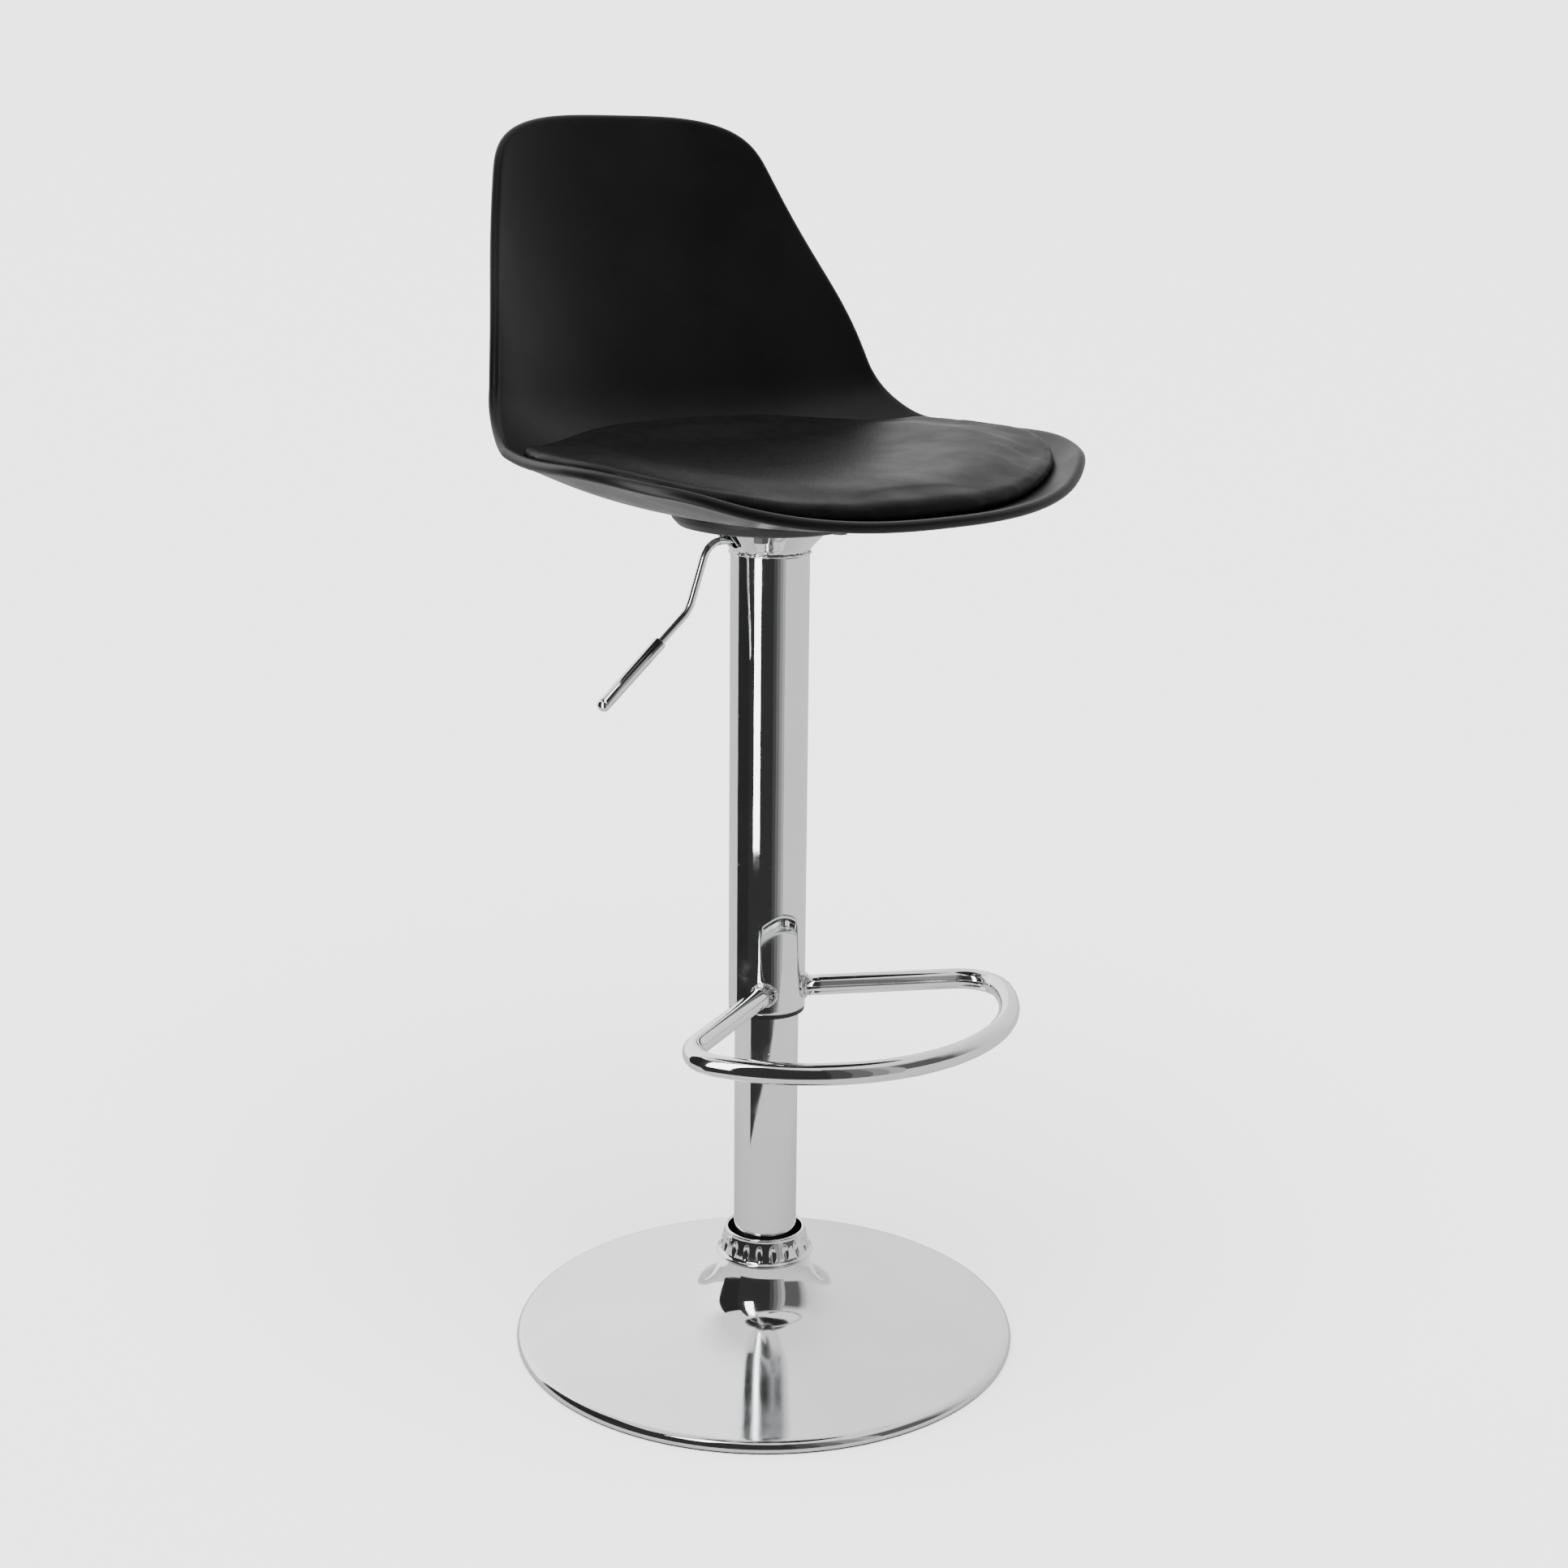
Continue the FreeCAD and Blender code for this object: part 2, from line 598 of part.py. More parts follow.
# ---------------------------------------------------------------- the stool
def release_pin():
    """Valve pin with a domed tip for the lever to press."""
    radius = 3.0
    tip = LEVER_Z - LEVER_R - 0.1 - radius
    shank = rod(radius, CYLINDER_TOP - 11.5, tip)
    return shank.fuse(Part.makeSphere(radius, V(0, 0, tip))).removeSplitter()


def main():
    os.makedirs("parts", exist_ok=True)
    inner_r = COLUMN_R - COLUMN_WALL
    floor_z = FLANGE_Z + FOOT_PLATE_T
    save("base_trumpet", base_trumpet())
    save("base_ballast_plate", ballast_plate())
    save("base_floor_ring", ring(BASE_R - BASE_SHEET, BALLAST_R - 16, 0, FLOOR_RING_T))
    save("base_screws", base_screws())
    save("column_flange", column_flange())
    save("column_spigot", ring(inner_r, inner_r - 2.0, FLANGE_Z, SPIGOT_TOP))
    save("column_foot_plate", ring(inner_r - 2.0, 4.3, FLANGE_Z, floor_z))
    save("column_tube", ring(COLUMN_R, inner_r, COLUMN_BOTTOM, COLUMN_TOP - 2))
    save("base_collar", base_collar())
    save("column_guide_bush", column_guide_bush())
    save("thrust_washer_lower", ring(12.0, 4.3, floor_z, floor_z + 1.9))
    save("bearing_balls", bearing_balls())
    save("ball_cage", ball_cage())

    save("thrust_washer_upper", ring(12.0, ROD_FOOT_R, 17.1, 18.4))
    save("piston_rod", piston_rod())
    save("rod_washer", ring(8.0, ROD_FOOT_R, 6.1, FLANGE_Z - 0.1))
    save("rod_clip", ring(6.0, 3.2, 5.1, 5.9))
    save("rod_buffer", ring(11.0, ROD_R, 18.6, 27.5))
    save("piston", ring(CYLINDER_BORE_R - RUNNING_GAP, 3.0, 236.0, 242.0))

    save("gas_cylinder", gas_cylinder())
    save("cylinder_gland", ring(CYLINDER_BORE_R, ROD_R + RUNNING_GAP, CYLINDER_BOTTOM, 214.0))
    save("rod_seal", ring(CYLINDER_BORE_R, ROD_R + 0.1, 214.0, 219.0))
    save("taper_socket", taper_socket())
    save("socket_plate", ring(SLEEVE_R - SLEEVE_WALL, 17.5, 630.0, 634.0))
    save("sleeve_tube", ring(SLEEVE_R, SLEEVE_R - SLEEVE_WALL, SLEEVE_BOTTOM, SLEEVE_TOP))
    save("sleeve_bush_lower", sleeve_bush())
    save("footrest", footrest_tube())
    save("mounting_cone", mounting_cone())
    save("seat_plate", seat_plate())
    save("lever_bracket", lever_bracket())
    pin = Part.makeCylinder(PIVOT_R, 16, V(PIVOT_X, -8, LEVER_Z), V(0, 1, 0))
    save("lever_pivot_pin", pin)
    save("seat_disc", seat_disc())
    save("seat_shell", seat_shell())
    save("pad_board", pad_board())
    save("seat_pad", seat_pad())
    save("seat_bolts", seat_bolts())
    save("seat_washers", seat_washers())
    save("threaded_inserts", threaded_inserts())

    save("lever_rod", lever_rod())
    save("lever_grip", lever_grip())
    save("lever_end_cap", lever_end_cap())
    save("release_pin", release_pin())


main()
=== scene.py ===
import json
import math
import random

import bmesh
import bpy
from mathutils import Matrix, Vector
from mathutils.kdtree import KDTree


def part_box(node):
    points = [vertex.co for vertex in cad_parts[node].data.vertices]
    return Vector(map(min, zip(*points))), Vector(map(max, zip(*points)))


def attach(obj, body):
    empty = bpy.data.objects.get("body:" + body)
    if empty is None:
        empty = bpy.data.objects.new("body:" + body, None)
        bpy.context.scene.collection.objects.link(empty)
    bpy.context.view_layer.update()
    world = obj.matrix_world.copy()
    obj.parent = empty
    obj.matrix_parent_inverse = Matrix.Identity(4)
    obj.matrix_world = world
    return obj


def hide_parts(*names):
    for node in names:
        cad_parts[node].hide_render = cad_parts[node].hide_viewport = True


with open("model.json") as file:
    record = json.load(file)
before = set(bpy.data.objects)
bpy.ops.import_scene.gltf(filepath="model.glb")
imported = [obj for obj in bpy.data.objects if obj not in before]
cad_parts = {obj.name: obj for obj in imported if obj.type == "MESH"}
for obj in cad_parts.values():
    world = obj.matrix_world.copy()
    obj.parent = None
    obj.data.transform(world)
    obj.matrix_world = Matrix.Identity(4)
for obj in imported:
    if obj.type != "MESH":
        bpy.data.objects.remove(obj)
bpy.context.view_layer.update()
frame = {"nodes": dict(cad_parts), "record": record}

# Bar stool with a bucket seat. Metres, +Z up; the sitter faces -Y and the lever is at -X.
MM = 0.001


# ---------------------------------------------------------------- node helpers
def new_material(name):
    material = bpy.data.materials.new(name)
    material.use_nodes = True
    return material, material.node_tree, material.node_tree.nodes["Principled BSDF"]


def node(tree, kind, inputs=None, **settings):
    made = tree.nodes.new(kind)
    for key, value in settings.items():
        setattr(made, key, value)
    for key, value in (inputs or {}).items():
        made.inputs[key].default_value = value
    return made


def object_space(tree):
    return node(tree, "ShaderNodeTexCoord").outputs["Object"]


def noise_tex(tree, scale, detail=4.0, rough=0.55, vector=None):
    tex = node(tree, "ShaderNodeTexNoise", {"Scale": scale, "Detail": detail, "Roughness": rough})
    tree.links.new(vector or object_space(tree), tex.inputs["Vector"])
    return tex.outputs["Fac"]


def ramp(tree, source, stops):
    made = node(tree, "ShaderNodeValToRGB")
    elements = made.color_ramp.elements
    while len(elements) < len(stops):
        elements.new(0.5)
    for element, (place, colour) in zip(elements, stops):
        element.position = place
        element.color = colour
    tree.links.new(source, made.inputs["Fac"])
    return made.outputs["Color"]


def grey(value):
    return (value, value, value, 1.0)


def bump(tree, height, strength, distance, before=None):
    made = node(tree, "ShaderNodeBump", {"Strength": strength, "Distance": distance})
    tree.links.new(height, made.inputs["Height"])
    if before:
        tree.links.new(before, made.inputs["Normal"])
    return made.outputs["Normal"]


def stretched(tree, scale):
    made = node(tree, "ShaderNodeMapping", {"Scale": scale})
    tree.links.new(object_space(tree), made.inputs["Vector"])
    return made.outputs["Vector"]


# ---------------------------------------------------------------- materials
def chrome(name, tint, low, high, smudge, pits):
    """Mirror plate: smudges vary the gloss, faint lengthwise polishing lines, sparse pits."""
    material, tree, shader = new_material(name)
    shader.inputs["Metallic"].default_value = 1.0
    cloud = noise_tex(tree, smudge, 6.0, 0.6)
    tree.links.new(ramp(tree, cloud, [(0.42, grey(low)), (0.60, grey(high)), (0.70, grey(high * 2.2))]),
                   shader.inputs["Roughness"])
    shade = [c * 0.93 for c in tint]
    tree.links.new(ramp(tree, noise_tex(tree, 9.0, 3.0), [(0.35, (*shade, 1)), (0.65, (*tint, 1))]),
                   shader.inputs["Base Color"])
    lines = noise_tex(tree, 60.0, 3.0, 0.5, stretched(tree, (14.0, 14.0, 0.35)))
    soft = bump(tree, lines, 0.05, 0.0002)
    wavy = bump(tree, noise_tex(tree, 14.0, 2.0), 0.05, 0.002, soft)
    cells = node(tree, "ShaderNodeTexVoronoi", {"Scale": 75.0})
    tree.links.new(object_space(tree), cells.inputs["Vector"])
    spots = ramp(tree, cells.outputs["Distance"], [(0.03, grey(0.0)), (0.08, grey(1.0))])
    tree.links.new(bump(tree, spots, pits, 0.0002, wavy), shader.inputs["Normal"])
    return material


def moulded(name, dark, light, low, high, grain, depth, specular=0.5):
    """Moulded plastic or rubber: fine grain, faint cloudiness in colour and gloss."""
    material, tree, shader = new_material(name)
    shader.inputs["Specular IOR Level"].default_value = specular
    cloud = noise_tex(tree, 7.0, 3.0)
    tree.links.new(ramp(tree, cloud, [(0.35, grey(dark)), (0.7, grey(light))]), shader.inputs["Base Color"])
    tree.links.new(ramp(tree, noise_tex(tree, 23.0, 4.0), [(0.35, grey(low)), (0.7, grey(high))]),
                   shader.inputs["Roughness"])
    fine = noise_tex(tree, grain, 3.0, 0.6)
    tree.links.new(bump(tree, fine, depth, 0.0002), shader.inputs["Normal"])
    return material


def leatherette():
    """Coated cloth: pebble grain, fine creases with painted shade darkening their valleys, and a soft sheen."""
    material, tree, shader = new_material("leatherette_black")
    shader.inputs["Specular IOR Level"].default_value = 0.13
    shader.inputs["Sheen Weight"].default_value = 0.004
    shader.inputs["Sheen Roughness"].default_value = 0.4
    cells = node(tree, "ShaderNodeTexVoronoi", {"Scale": 620.0, "Randomness": 0.9})
    cells.feature = "DISTANCE_TO_EDGE"
    tree.links.new(object_space(tree), cells.inputs["Vector"])
    pebbles = ramp(tree, cells.outputs["Distance"], [(0.0, grey(0.0)), (0.22, grey(1.0))])
    creases = noise_tex(tree, 90.0, 6.0, 0.65)
    normal = bump(tree, pebbles, 0.22, 0.00025)
    normal = bump(tree, creases, 0.10, 0.0006, normal)
    normal = bump(tree, noise_tex(tree, 11.0, 2.0), 0.10, 0.004, normal)
    tree.links.new(normal, shader.inputs["Normal"])
    # Base colour follows the crease height, darker in the valleys: painted shade in the creases.
    tree.links.new(ramp(tree, creases, [(0.3, grey(0.0012)), (0.75, grey(0.0030))]),
                   shader.inputs["Base Color"])
    tree.links.new(ramp(tree, noise_tex(tree, 30.0, 3.0), [(0.3, grey(0.36)), (0.7, grey(0.46))]),
                   shader.inputs["Roughness"])
    return material


def wood():
    material, tree, shader = new_material("plywood")
    grain = noise_tex(tree, 30.0, 5.0, 0.6, stretched(tree, (1.0, 14.0, 14.0)))
    tree.links.new(ramp(tree, grain, [(0.3, (0.42, 0.28, 0.15, 1)), (0.7, (0.66, 0.50, 0.32, 1))]),
                   shader.inputs["Base Color"])
    shader.inputs["Roughness"].default_value = 0.6
    tree.links.new(bump(tree, grain, 0.2, 0.0004), shader.inputs["Normal"])
    return material


CHROME = chrome("chrome_plate", (0.86, 0.865, 0.875), 0.025, 0.085, 24.0, 0.35)
CHROME_BASE = chrome("chrome_cover", (0.88, 0.885, 0.89), 0.05, 0.11, 6.0, 0.05)
WELD = chrome("chrome_weld", (0.80, 0.80, 0.81), 0.10, 0.30, 160.0, 0.6)
STEEL = chrome("zinc_plate", (0.56, 0.57, 0.58), 0.28, 0.42, 30.0, 0.2)
BRASS = chrome("turned_brass", (0.72, 0.56, 0.28), 0.25, 0.40, 30.0, 0.1)
DARK_STEEL = moulded("phosphated_steel", 0.02, 0.045, 0.40, 0.55, 500.0, 0.15, 0.6)
SHELL_PLASTIC = moulded("shell_plastic", 0.0012, 0.0022, 0.36, 0.44, 1500.0, 0.10, 0.25)
DISC_PLASTIC = moulded("disc_plastic", 0.004, 0.007, 0.42, 0.55, 1200.0, 0.18, 0.4)
RUBBER = moulded("floor_rubber", 0.015, 0.022, 0.65, 0.80, 700.0, 0.2, 0.35)
LEATHER = leatherette()
PLYWOOD = wood()
SLOT_LOOKS = {"chrome": CHROME, "zinc_steel": STEEL, "dark_steel": DARK_STEEL, "black_plastic": DISC_PLASTIC,
              "shell_plastic": SHELL_PLASTIC, "black_leatherette": LEATHER, "rubber": RUBBER,
              "plywood": PLYWOOD, "brass": BRASS}


def dress_cad_nodes():
    slots = {part["node"]: part["material_slot"] for part in frame["record"]["subparts"]}
    for name, obj in frame["nodes"].items():
        look = SLOT_LOOKS[slots[name]]
        obj.data.materials.clear()
        obj.data.materials.append(look)


dress_cad_nodes()


# ---------------------------------------------------------------- mesh helpers
def make_piece(name, verts, faces, material, body, replaced=(), smooth=True, subdivide=0):
    mesh = bpy.data.meshes.new(name)
    mesh.from_pydata([tuple(v) for v in verts], [], faces)
    mesh.validate()
    work = bmesh.new()
    work.from_mesh(mesh)
    bmesh.ops.remove_doubles(work, verts=work.verts, dist=1e-6)
    bmesh.ops.recalc_face_normals(work, faces=work.faces)
    work.to_mesh(mesh)
    work.free()
    for polygon in mesh.polygons:
        polygon.use_smooth = smooth
    mesh.materials.append(material)
    obj = bpy.data.objects.new(name, mesh)
    bpy.context.scene.collection.objects.link(obj)
    if subdivide:
        modifier = obj.modifiers.new("smooth", "SUBSURF")
        modifier.levels = subdivide
        modifier.render_levels = subdivide
    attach(obj, body)
    if replaced:
        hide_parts(*replaced)
    return obj


def rounded(corners):
    """Turns (r, z, radius) corners of a closed section into points, each corner an arc."""
    points = []
    count = len(corners)
    for k, (r, z, radius) in enumerate(corners):
        corner = Vector((r, z))
        if radius <= 0:
            points.append(corner)
            continue
        back = (Vector(corners[k - 1][:2]) - corner)
        ahead = (Vector(corners[(k + 1) % count][:2]) - corner)
        half = back.angle(ahead) / 2
        reach = min(radius / math.tan(half), back.length * 0.49, ahead.length * 0.49)
        start, end = corner + back.normalized() * reach, corner + ahead.normalized() * reach
        steps = 5
        for i in range(steps + 1):
            t = i / steps
            points.append(start.lerp(corner, t).lerp(corner.lerp(end, t), t))
    return points


def lathe(section, segments, spin=None):
    """Closed ring solid from a closed (r, z) section in mm; spin(r, z, angle) may move a point."""
    verts, faces = [], []
    count = len(section)
    for k in range(segments):
        angle = 2 * math.pi * k / segments
        for r, z in section:
            if spin:
                r, z = spin(r, z, angle)
            verts.append(Vector((r * math.cos(angle), r * math.sin(angle), z)) * MM)
    for k in range(segments):
        for i in range(count):
            a, b = k * count + i, k * count + (i + 1) % count
            c, d = ((k + 1) % segments) * count + (i + 1) % count, ((k + 1) % segments) * count + i
            faces.append((a, b, c, d))
    return verts, faces


def swept(points, radius_at, sides, closed_ends=True, start_normal=None):
    """A tube mesh along points (mm); radius_at(k, angle) gives the section's radius."""
    verts, faces = [], []
    count = len(points)
    normal = start_normal
    for k, point in enumerate(points):
        tangent = (points[min(k + 1, count - 1)] - points[max(k - 1, 0)]).normalized()
        if normal is None:
            normal = tangent.orthogonal().normalized()
        normal = (normal - tangent * normal.dot(tangent)).normalized()
        side = tangent.cross(normal)
        for j in range(sides):
            angle = 2 * math.pi * j / sides
            spoke = normal * math.cos(angle) + side * math.sin(angle)
            verts.append((point + spoke * radius_at(k, angle)) * MM)
    for k in range(count - 1):
        for j in range(sides):
            a, b = k * sides + j, k * sides + (j + 1) % sides
            faces.append((a, b, b + sides, a + sides))
    if closed_ends:
        faces.append(tuple(range(sides))[::-1])
        faces.append(tuple(range((count - 1) * sides, count * sides)))
    return verts, faces


def arc_points(centre, radius, start, end, steps, height):
    """Points on a horizontal arc, mm."""
    found = []
    for k in range(steps + 1):
        angle = start + (end - start) * k / steps
        x, y = centre[0] + radius * math.cos(angle), centre[1] + radius * math.sin(angle)
        found.append(Vector((x, y, height)))
    return found


def node_top(name):
    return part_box(name)[1][2] / MM


def node_foot(name):
    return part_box(name)[0][2] / MM


def node_radius(name):
    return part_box(name)[1][0] / MM


def smooth_line(points, between):
    """Catmull-Rom points through a polyline."""
    found = []
    for k in range(len(points) - 1):
        before = Vector(points[max(k - 1, 0)])
        a, b = Vector(points[k]), Vector(points[k + 1])
        after = Vector(points[min(k + 2, len(points) - 1)])
        for i in range(between):
            t = i / between
            found.append(tuple(0.5 * ((2 * a) + (b - before) * t + (2 * before - 5 * a + 4 * b - after) * t * t
                                      + (3 * a - before - 3 * b + after) * t ** 3)))
    found.append(tuple(points[-1]))
    return found


def raised(section, height):
    """The (r, z) points of a section moved up."""
    return [(r, z + height) for r, z in section]


def tube_section(name, foot_edge, head_edge, foot_clear, head_clear, spans):
    """Closed wall section of a CAD tube; each edge is (depth from the face, distance from the end)."""
    low, high, r = node_foot(name), node_top(name), node_radius(name)
    straight = high - low - foot_clear - head_clear
    section = [(r - depth, low + rise) for depth, rise in foot_edge]
    section += [(r, low + foot_clear + straight * k / spans) for k in range(spans + 1)]
    return section + [(r - depth, high - drop) for depth, drop in head_edge]


def unit_share(value):
    """The value kept between 0 and 1."""
    return min(1.0, max(0.0, value))


# ---------------------------------------------------------------- base
# The cover's outer face from neck to rim, as (r, z) in mm.
COVER_FACE = [(36.0, 70.0), (36.5, 65.0), (37.3, 60.0), (39.0, 54.0), (41.5, 48.0), (45.2, 42.2), (50.0, 37.0),
              (56.3, 32.5), (64.0, 29.0), (76.0, 25.2), (90.0, 21.8), (109.0, 18.5), (130.0, 15.6),
              (150.0, 13.3), (170.0, 11.2), (182.0, 10.1), (191.0, 9.3)]
COVER_SMOOTHING = 5
COVER_SEGMENTS = 256
COVER_DROP = 1.3
NECK_FOOT = 40.0
NECK_T = 1.2
FLARE_T = 0.36
COVER_ROLL_R = 192.6
COVER_ROLL_Z = 1.8
COVER_ROLL_REACH = 7.4
COVER_ROLL_RISE = 7.3
COVER_ROLL_POWER = 0.8
COVER_ROLL_STEPS = 8
COVER_LIP = [(200.0, 2.6), (199.9, 1.7), (199.2, 1.2), (198.4, 1.6)]

# The collar's section as (r, height above its foot): foot bead, tapering side, then head and inside.
COLLAR_BEAD = [(33.4, 0.0), (37.6, 0.0), (38.4, 0.5), (38.7, 1.4), (38.4, 2.4), (37.6, 3.1), (36.9, 3.6),
               (36.4, 4.3)]
COLLAR_SIDE = [(35.9, 5.0), (35.3, 8.0), (34.3, 12.0), (33.2, 16.0), (32.3, 18.6)]
COLLAR_HEAD = [(31.9, 19.5), (32.1, 20.3), (31.9, 21.2), (31.3, 21.8), (30.5, 21.9), (29.8, 21.5), (29.4, 20.5),
               (29.3, 17.5), (32.0, 6.0)]
COLLAR_SMOOTHING = 7
COLLAR_SEGMENTS = 480
DIMPLE_COUNT = 20
DIMPLE_RING_R = 34.5
DIMPLE_LEAST_R = 31.5
DIMPLE_LIFT = 0.5
DIMPLE_HALF_WIDTH = 2.7
DIMPLE_HALF_HEIGHT = 6.2
DIMPLE_DEPTH = 1.3
DIMPLE_POWER = 0.8
DIMPLE_LIP = 0.12
DIMPLE_LIP_PLACE = 1.1
DIMPLE_LIP_SPREAD = 0.22

# Column edges as (depth from the face, distance from the end).
COLUMN_FOOT_EDGE = [(1.9, 0.0), (0.9, 0.1), (0.3, 0.5), (0.0, 1.3)]
COLUMN_HEAD_EDGE = [(0.0, 0.6), (0.6, 0.0), (1.9, 0.0)]
COLUMN_CLEAR = 2.0
COLUMN_SPANS = 12
COLUMN_SEGMENTS = 128


def cover_section():
    """Outer face from neck to rim, the rolled rim, then back along the inner face."""
    roll = []
    for k in range(1, COVER_ROLL_STEPS):
        turn = math.pi / 2 * k / COVER_ROLL_STEPS
        r = COVER_ROLL_R + COVER_ROLL_REACH * math.sin(turn)
        roll.append((r, COVER_ROLL_Z + COVER_ROLL_RISE * math.cos(turn) ** COVER_ROLL_POWER))
    inner = [(r - (NECK_T if z > NECK_FOOT else FLARE_T), z - COVER_DROP) for r, z in reversed(COVER_FACE)]
    return smooth_line(COVER_FACE, COVER_SMOOTHING) + roll + COVER_LIP + inner


def build_cover():
    verts, faces = lathe(cover_section(), COVER_SEGMENTS)
    make_piece("base_cover", verts, faces, CHROME_BASE, "base", ["base_trumpet"])


def build_collar():
    """The turned collar, its side pressed into a row of oval dimples with a low lip round each."""
    foot, top = node_foot("base_collar"), node_top("base_collar")
    middle = (foot + top) / 2 + DIMPLE_LIFT

    def pressed(r, z, angle):
        if r < DIMPLE_LEAST_R:
            return r, z
        phase = (angle * DIMPLE_COUNT / (2 * math.pi)) % 1.0 - 0.5
        across = phase * 2 * math.pi * DIMPLE_RING_R / DIMPLE_COUNT / DIMPLE_HALF_WIDTH
        along = (z - middle) / DIMPLE_HALF_HEIGHT
        inside = max(0.0, 1.0 - across * across - along * along)
        from_lip = math.hypot(across, along) - DIMPLE_LIP_PLACE
        lip = DIMPLE_LIP * math.exp(-(from_lip / DIMPLE_LIP_SPREAD) ** 2)
        return r - DIMPLE_DEPTH * inside ** DIMPLE_POWER + lip, z

    side = smooth_line(raised(COLLAR_SIDE, foot), COLLAR_SMOOTHING)
    section = raised(COLLAR_BEAD, foot) + side + raised(COLLAR_HEAD, foot)
    verts, faces = lathe(section, COLLAR_SEGMENTS, pressed)
    make_piece("base_collar_ring", verts, faces, CHROME, "base", ["base_collar"])


def build_column():
    section = tube_section("column_tube", COLUMN_FOOT_EDGE, COLUMN_HEAD_EDGE, COLUMN_CLEAR, COLUMN_CLEAR,
                           COLUMN_SPANS)
    verts, faces = lathe(section, COLUMN_SEGMENTS)
    make_piece("lower_column", verts, faces, CHROME, "base", ["column_tube"])


# ---------------------------------------------------------------- sleeve, cone and welds
SLEEVE_FOOT_EDGE = [(1.4, 0.0), (0.7, 0.0), (0.1, 0.6), (0.0, 1.5)]
SLEEVE_HEAD_EDGE = [(0.0, 0.6), (0.3, 0.1), (1.4, 0.0)]
SLEEVE_FOOT_CLEAR = 3.0
SLEEVE_HEAD_CLEAR = 2.0
SLEEVE_SPANS = 14
SLEEVE_SEGMENTS = 144
CONE_TOP_R = 46.0
# The flare's lower points as (out, up) from the sleeve's top edge, then one (in, down) from its own rim.
CONE_FOOT = [(0.0, 0.0), (0.3, 2.0), (2.2, 4.8)]
CONE_SIDE = (6.2, 6.8)
CONE_IN = 1.7
CONE_DOWN = 0.4
CONE_SMOOTHING = 5
CONE_SEGMENTS = 150
SLOT_HALF_WIDTH = 11.0
SLOT_R = 38.0
SLOT_START = 5.0
SLOT_EASE = 3.0
BEAD_SIDES = 12
CONE_BEAD_SIZE = 1.15
CONE_BEAD_OUT = 0.2
CONE_BEAD_LIFT = 0.4
CONE_BEAD_STEPS = 150
CONE_BEAD_SEED = 3
BEAD_LEAST, BEAD_MOST = 0.75, 1.2
BEAD_RIPPLE, BEAD_RIPPLE_TURN = 0.10, 1.9
BEAD_ROUGHNESS, BEAD_RIDGES = 0.08, 3


def bead(name, path, size, body, seed):
    """A rough weld bead along a closed path (mm)."""
    wander = random.Random(seed)
    lumps = [wander.uniform(BEAD_LEAST, BEAD_MOST) for _ in range(len(path))]

    def radius(k, angle):
        lump = lumps[k % (len(path) - 1)]
        ripple = BEAD_RIPPLE * math.sin(k * BEAD_RIPPLE_TURN + seed)
        return size * (lump + (ripple + BEAD_ROUGHNESS * math.sin(BEAD_RIDGES * angle + k)))

    verts, faces = swept(path, radius, BEAD_SIDES, closed_ends=False)
    return make_piece(name, verts, faces, WELD, body)


def build_sleeve():
    """The sleeve and the bead that joins the cone to its top."""
    section = tube_section("sleeve_tube", SLEEVE_FOOT_EDGE, SLEEVE_HEAD_EDGE, SLEEVE_FOOT_CLEAR,
                           SLEEVE_HEAD_CLEAR, SLEEVE_SPANS)
    verts, faces = lathe(section, SLEEVE_SEGMENTS)
    make_piece("seat_sleeve", verts, faces, CHROME, "seat_column", ["sleeve_tube"])
    ring = arc_points((0, 0), node_radius("sleeve_tube") + CONE_BEAD_OUT, 0, 2 * math.pi, CONE_BEAD_STEPS,
                      node_top("sleeve_tube") + CONE_BEAD_LIFT)
    bead("weld_cone", ring, CONE_BEAD_SIZE, "seat_column", CONE_BEAD_SEED)


def build_cone():
    """The flare above the bead, open where the lever comes out."""
    foot, r, top = node_top("sleeve_tube"), node_radius("sleeve_tube"), node_top("mounting_cone")
    outline = [(r + out, foot + up) for out, up in CONE_FOOT]
    outline += [(CONE_TOP_R - CONE_SIDE[0], top - CONE_SIDE[1]), (CONE_TOP_R, top)]
    outer = smooth_line(outline, CONE_SMOOTHING)
    section = outer + [(x - CONE_IN, z - CONE_DOWN) for x, z in reversed(outer)]
    half_slot = math.asin(SLOT_HALF_WIDTH / SLOT_R)
    verts, faces = [], []
    for k in range(CONE_SEGMENTS + 1):
        t = k / CONE_SEGMENTS
        for x, z in section:
            open_angle = half_slot * unit_share((z - foot - SLOT_START) / SLOT_EASE)
            angle = -math.pi + open_angle + (2 * math.pi - 2 * open_angle) * t
            verts.append(Vector((x * math.cos(angle), x * math.sin(angle), z)) * MM)
    count = len(section)
    for k in range(CONE_SEGMENTS):
        for i in range(count):
            a, b = k * count + i, k * count + (i + 1) % count
            faces.append((a, b, b + count, a + count))
    faces.append(tuple(range(count)))
    faces.append(tuple(range(CONE_SEGMENTS * count, (CONE_SEGMENTS + 1) * count)))
    make_piece("cone_flare", verts, faces, CHROME, "seat_column", ["mounting_cone"])


# ---------------------------------------------------------------- lever
LEVER_END = Vector((-150.0, 0, 540.2))
LEVER_KNEE = Vector((-75.0, 0, 601.0))
GRIP_LENGTH = 64.0
LEVER_SIDES = 40
# Places along the grip as (length, radius); the nudge keeps two at one length apart.
GRIP_STATIONS = [(0.0, 3.1), (0.0, 4.2), (0.4, 4.75), (1.0, 5.0), (20.0, 5.0), (42.0, 5.0), (62.6, 5.0),
                 (63.3, 4.8), (63.6, 4.5)]
GRIP_NUDGE = 0.01
TIP_STATIONS = [(64.0, 4.4), (64.2, 4.9), (64.8, 5.0), (65.8, 4.9), (67.0, 4.4), (68.1, 3.5), (68.8, 2.4),
                (69.0, 1.2), (69.05, 0.3)]


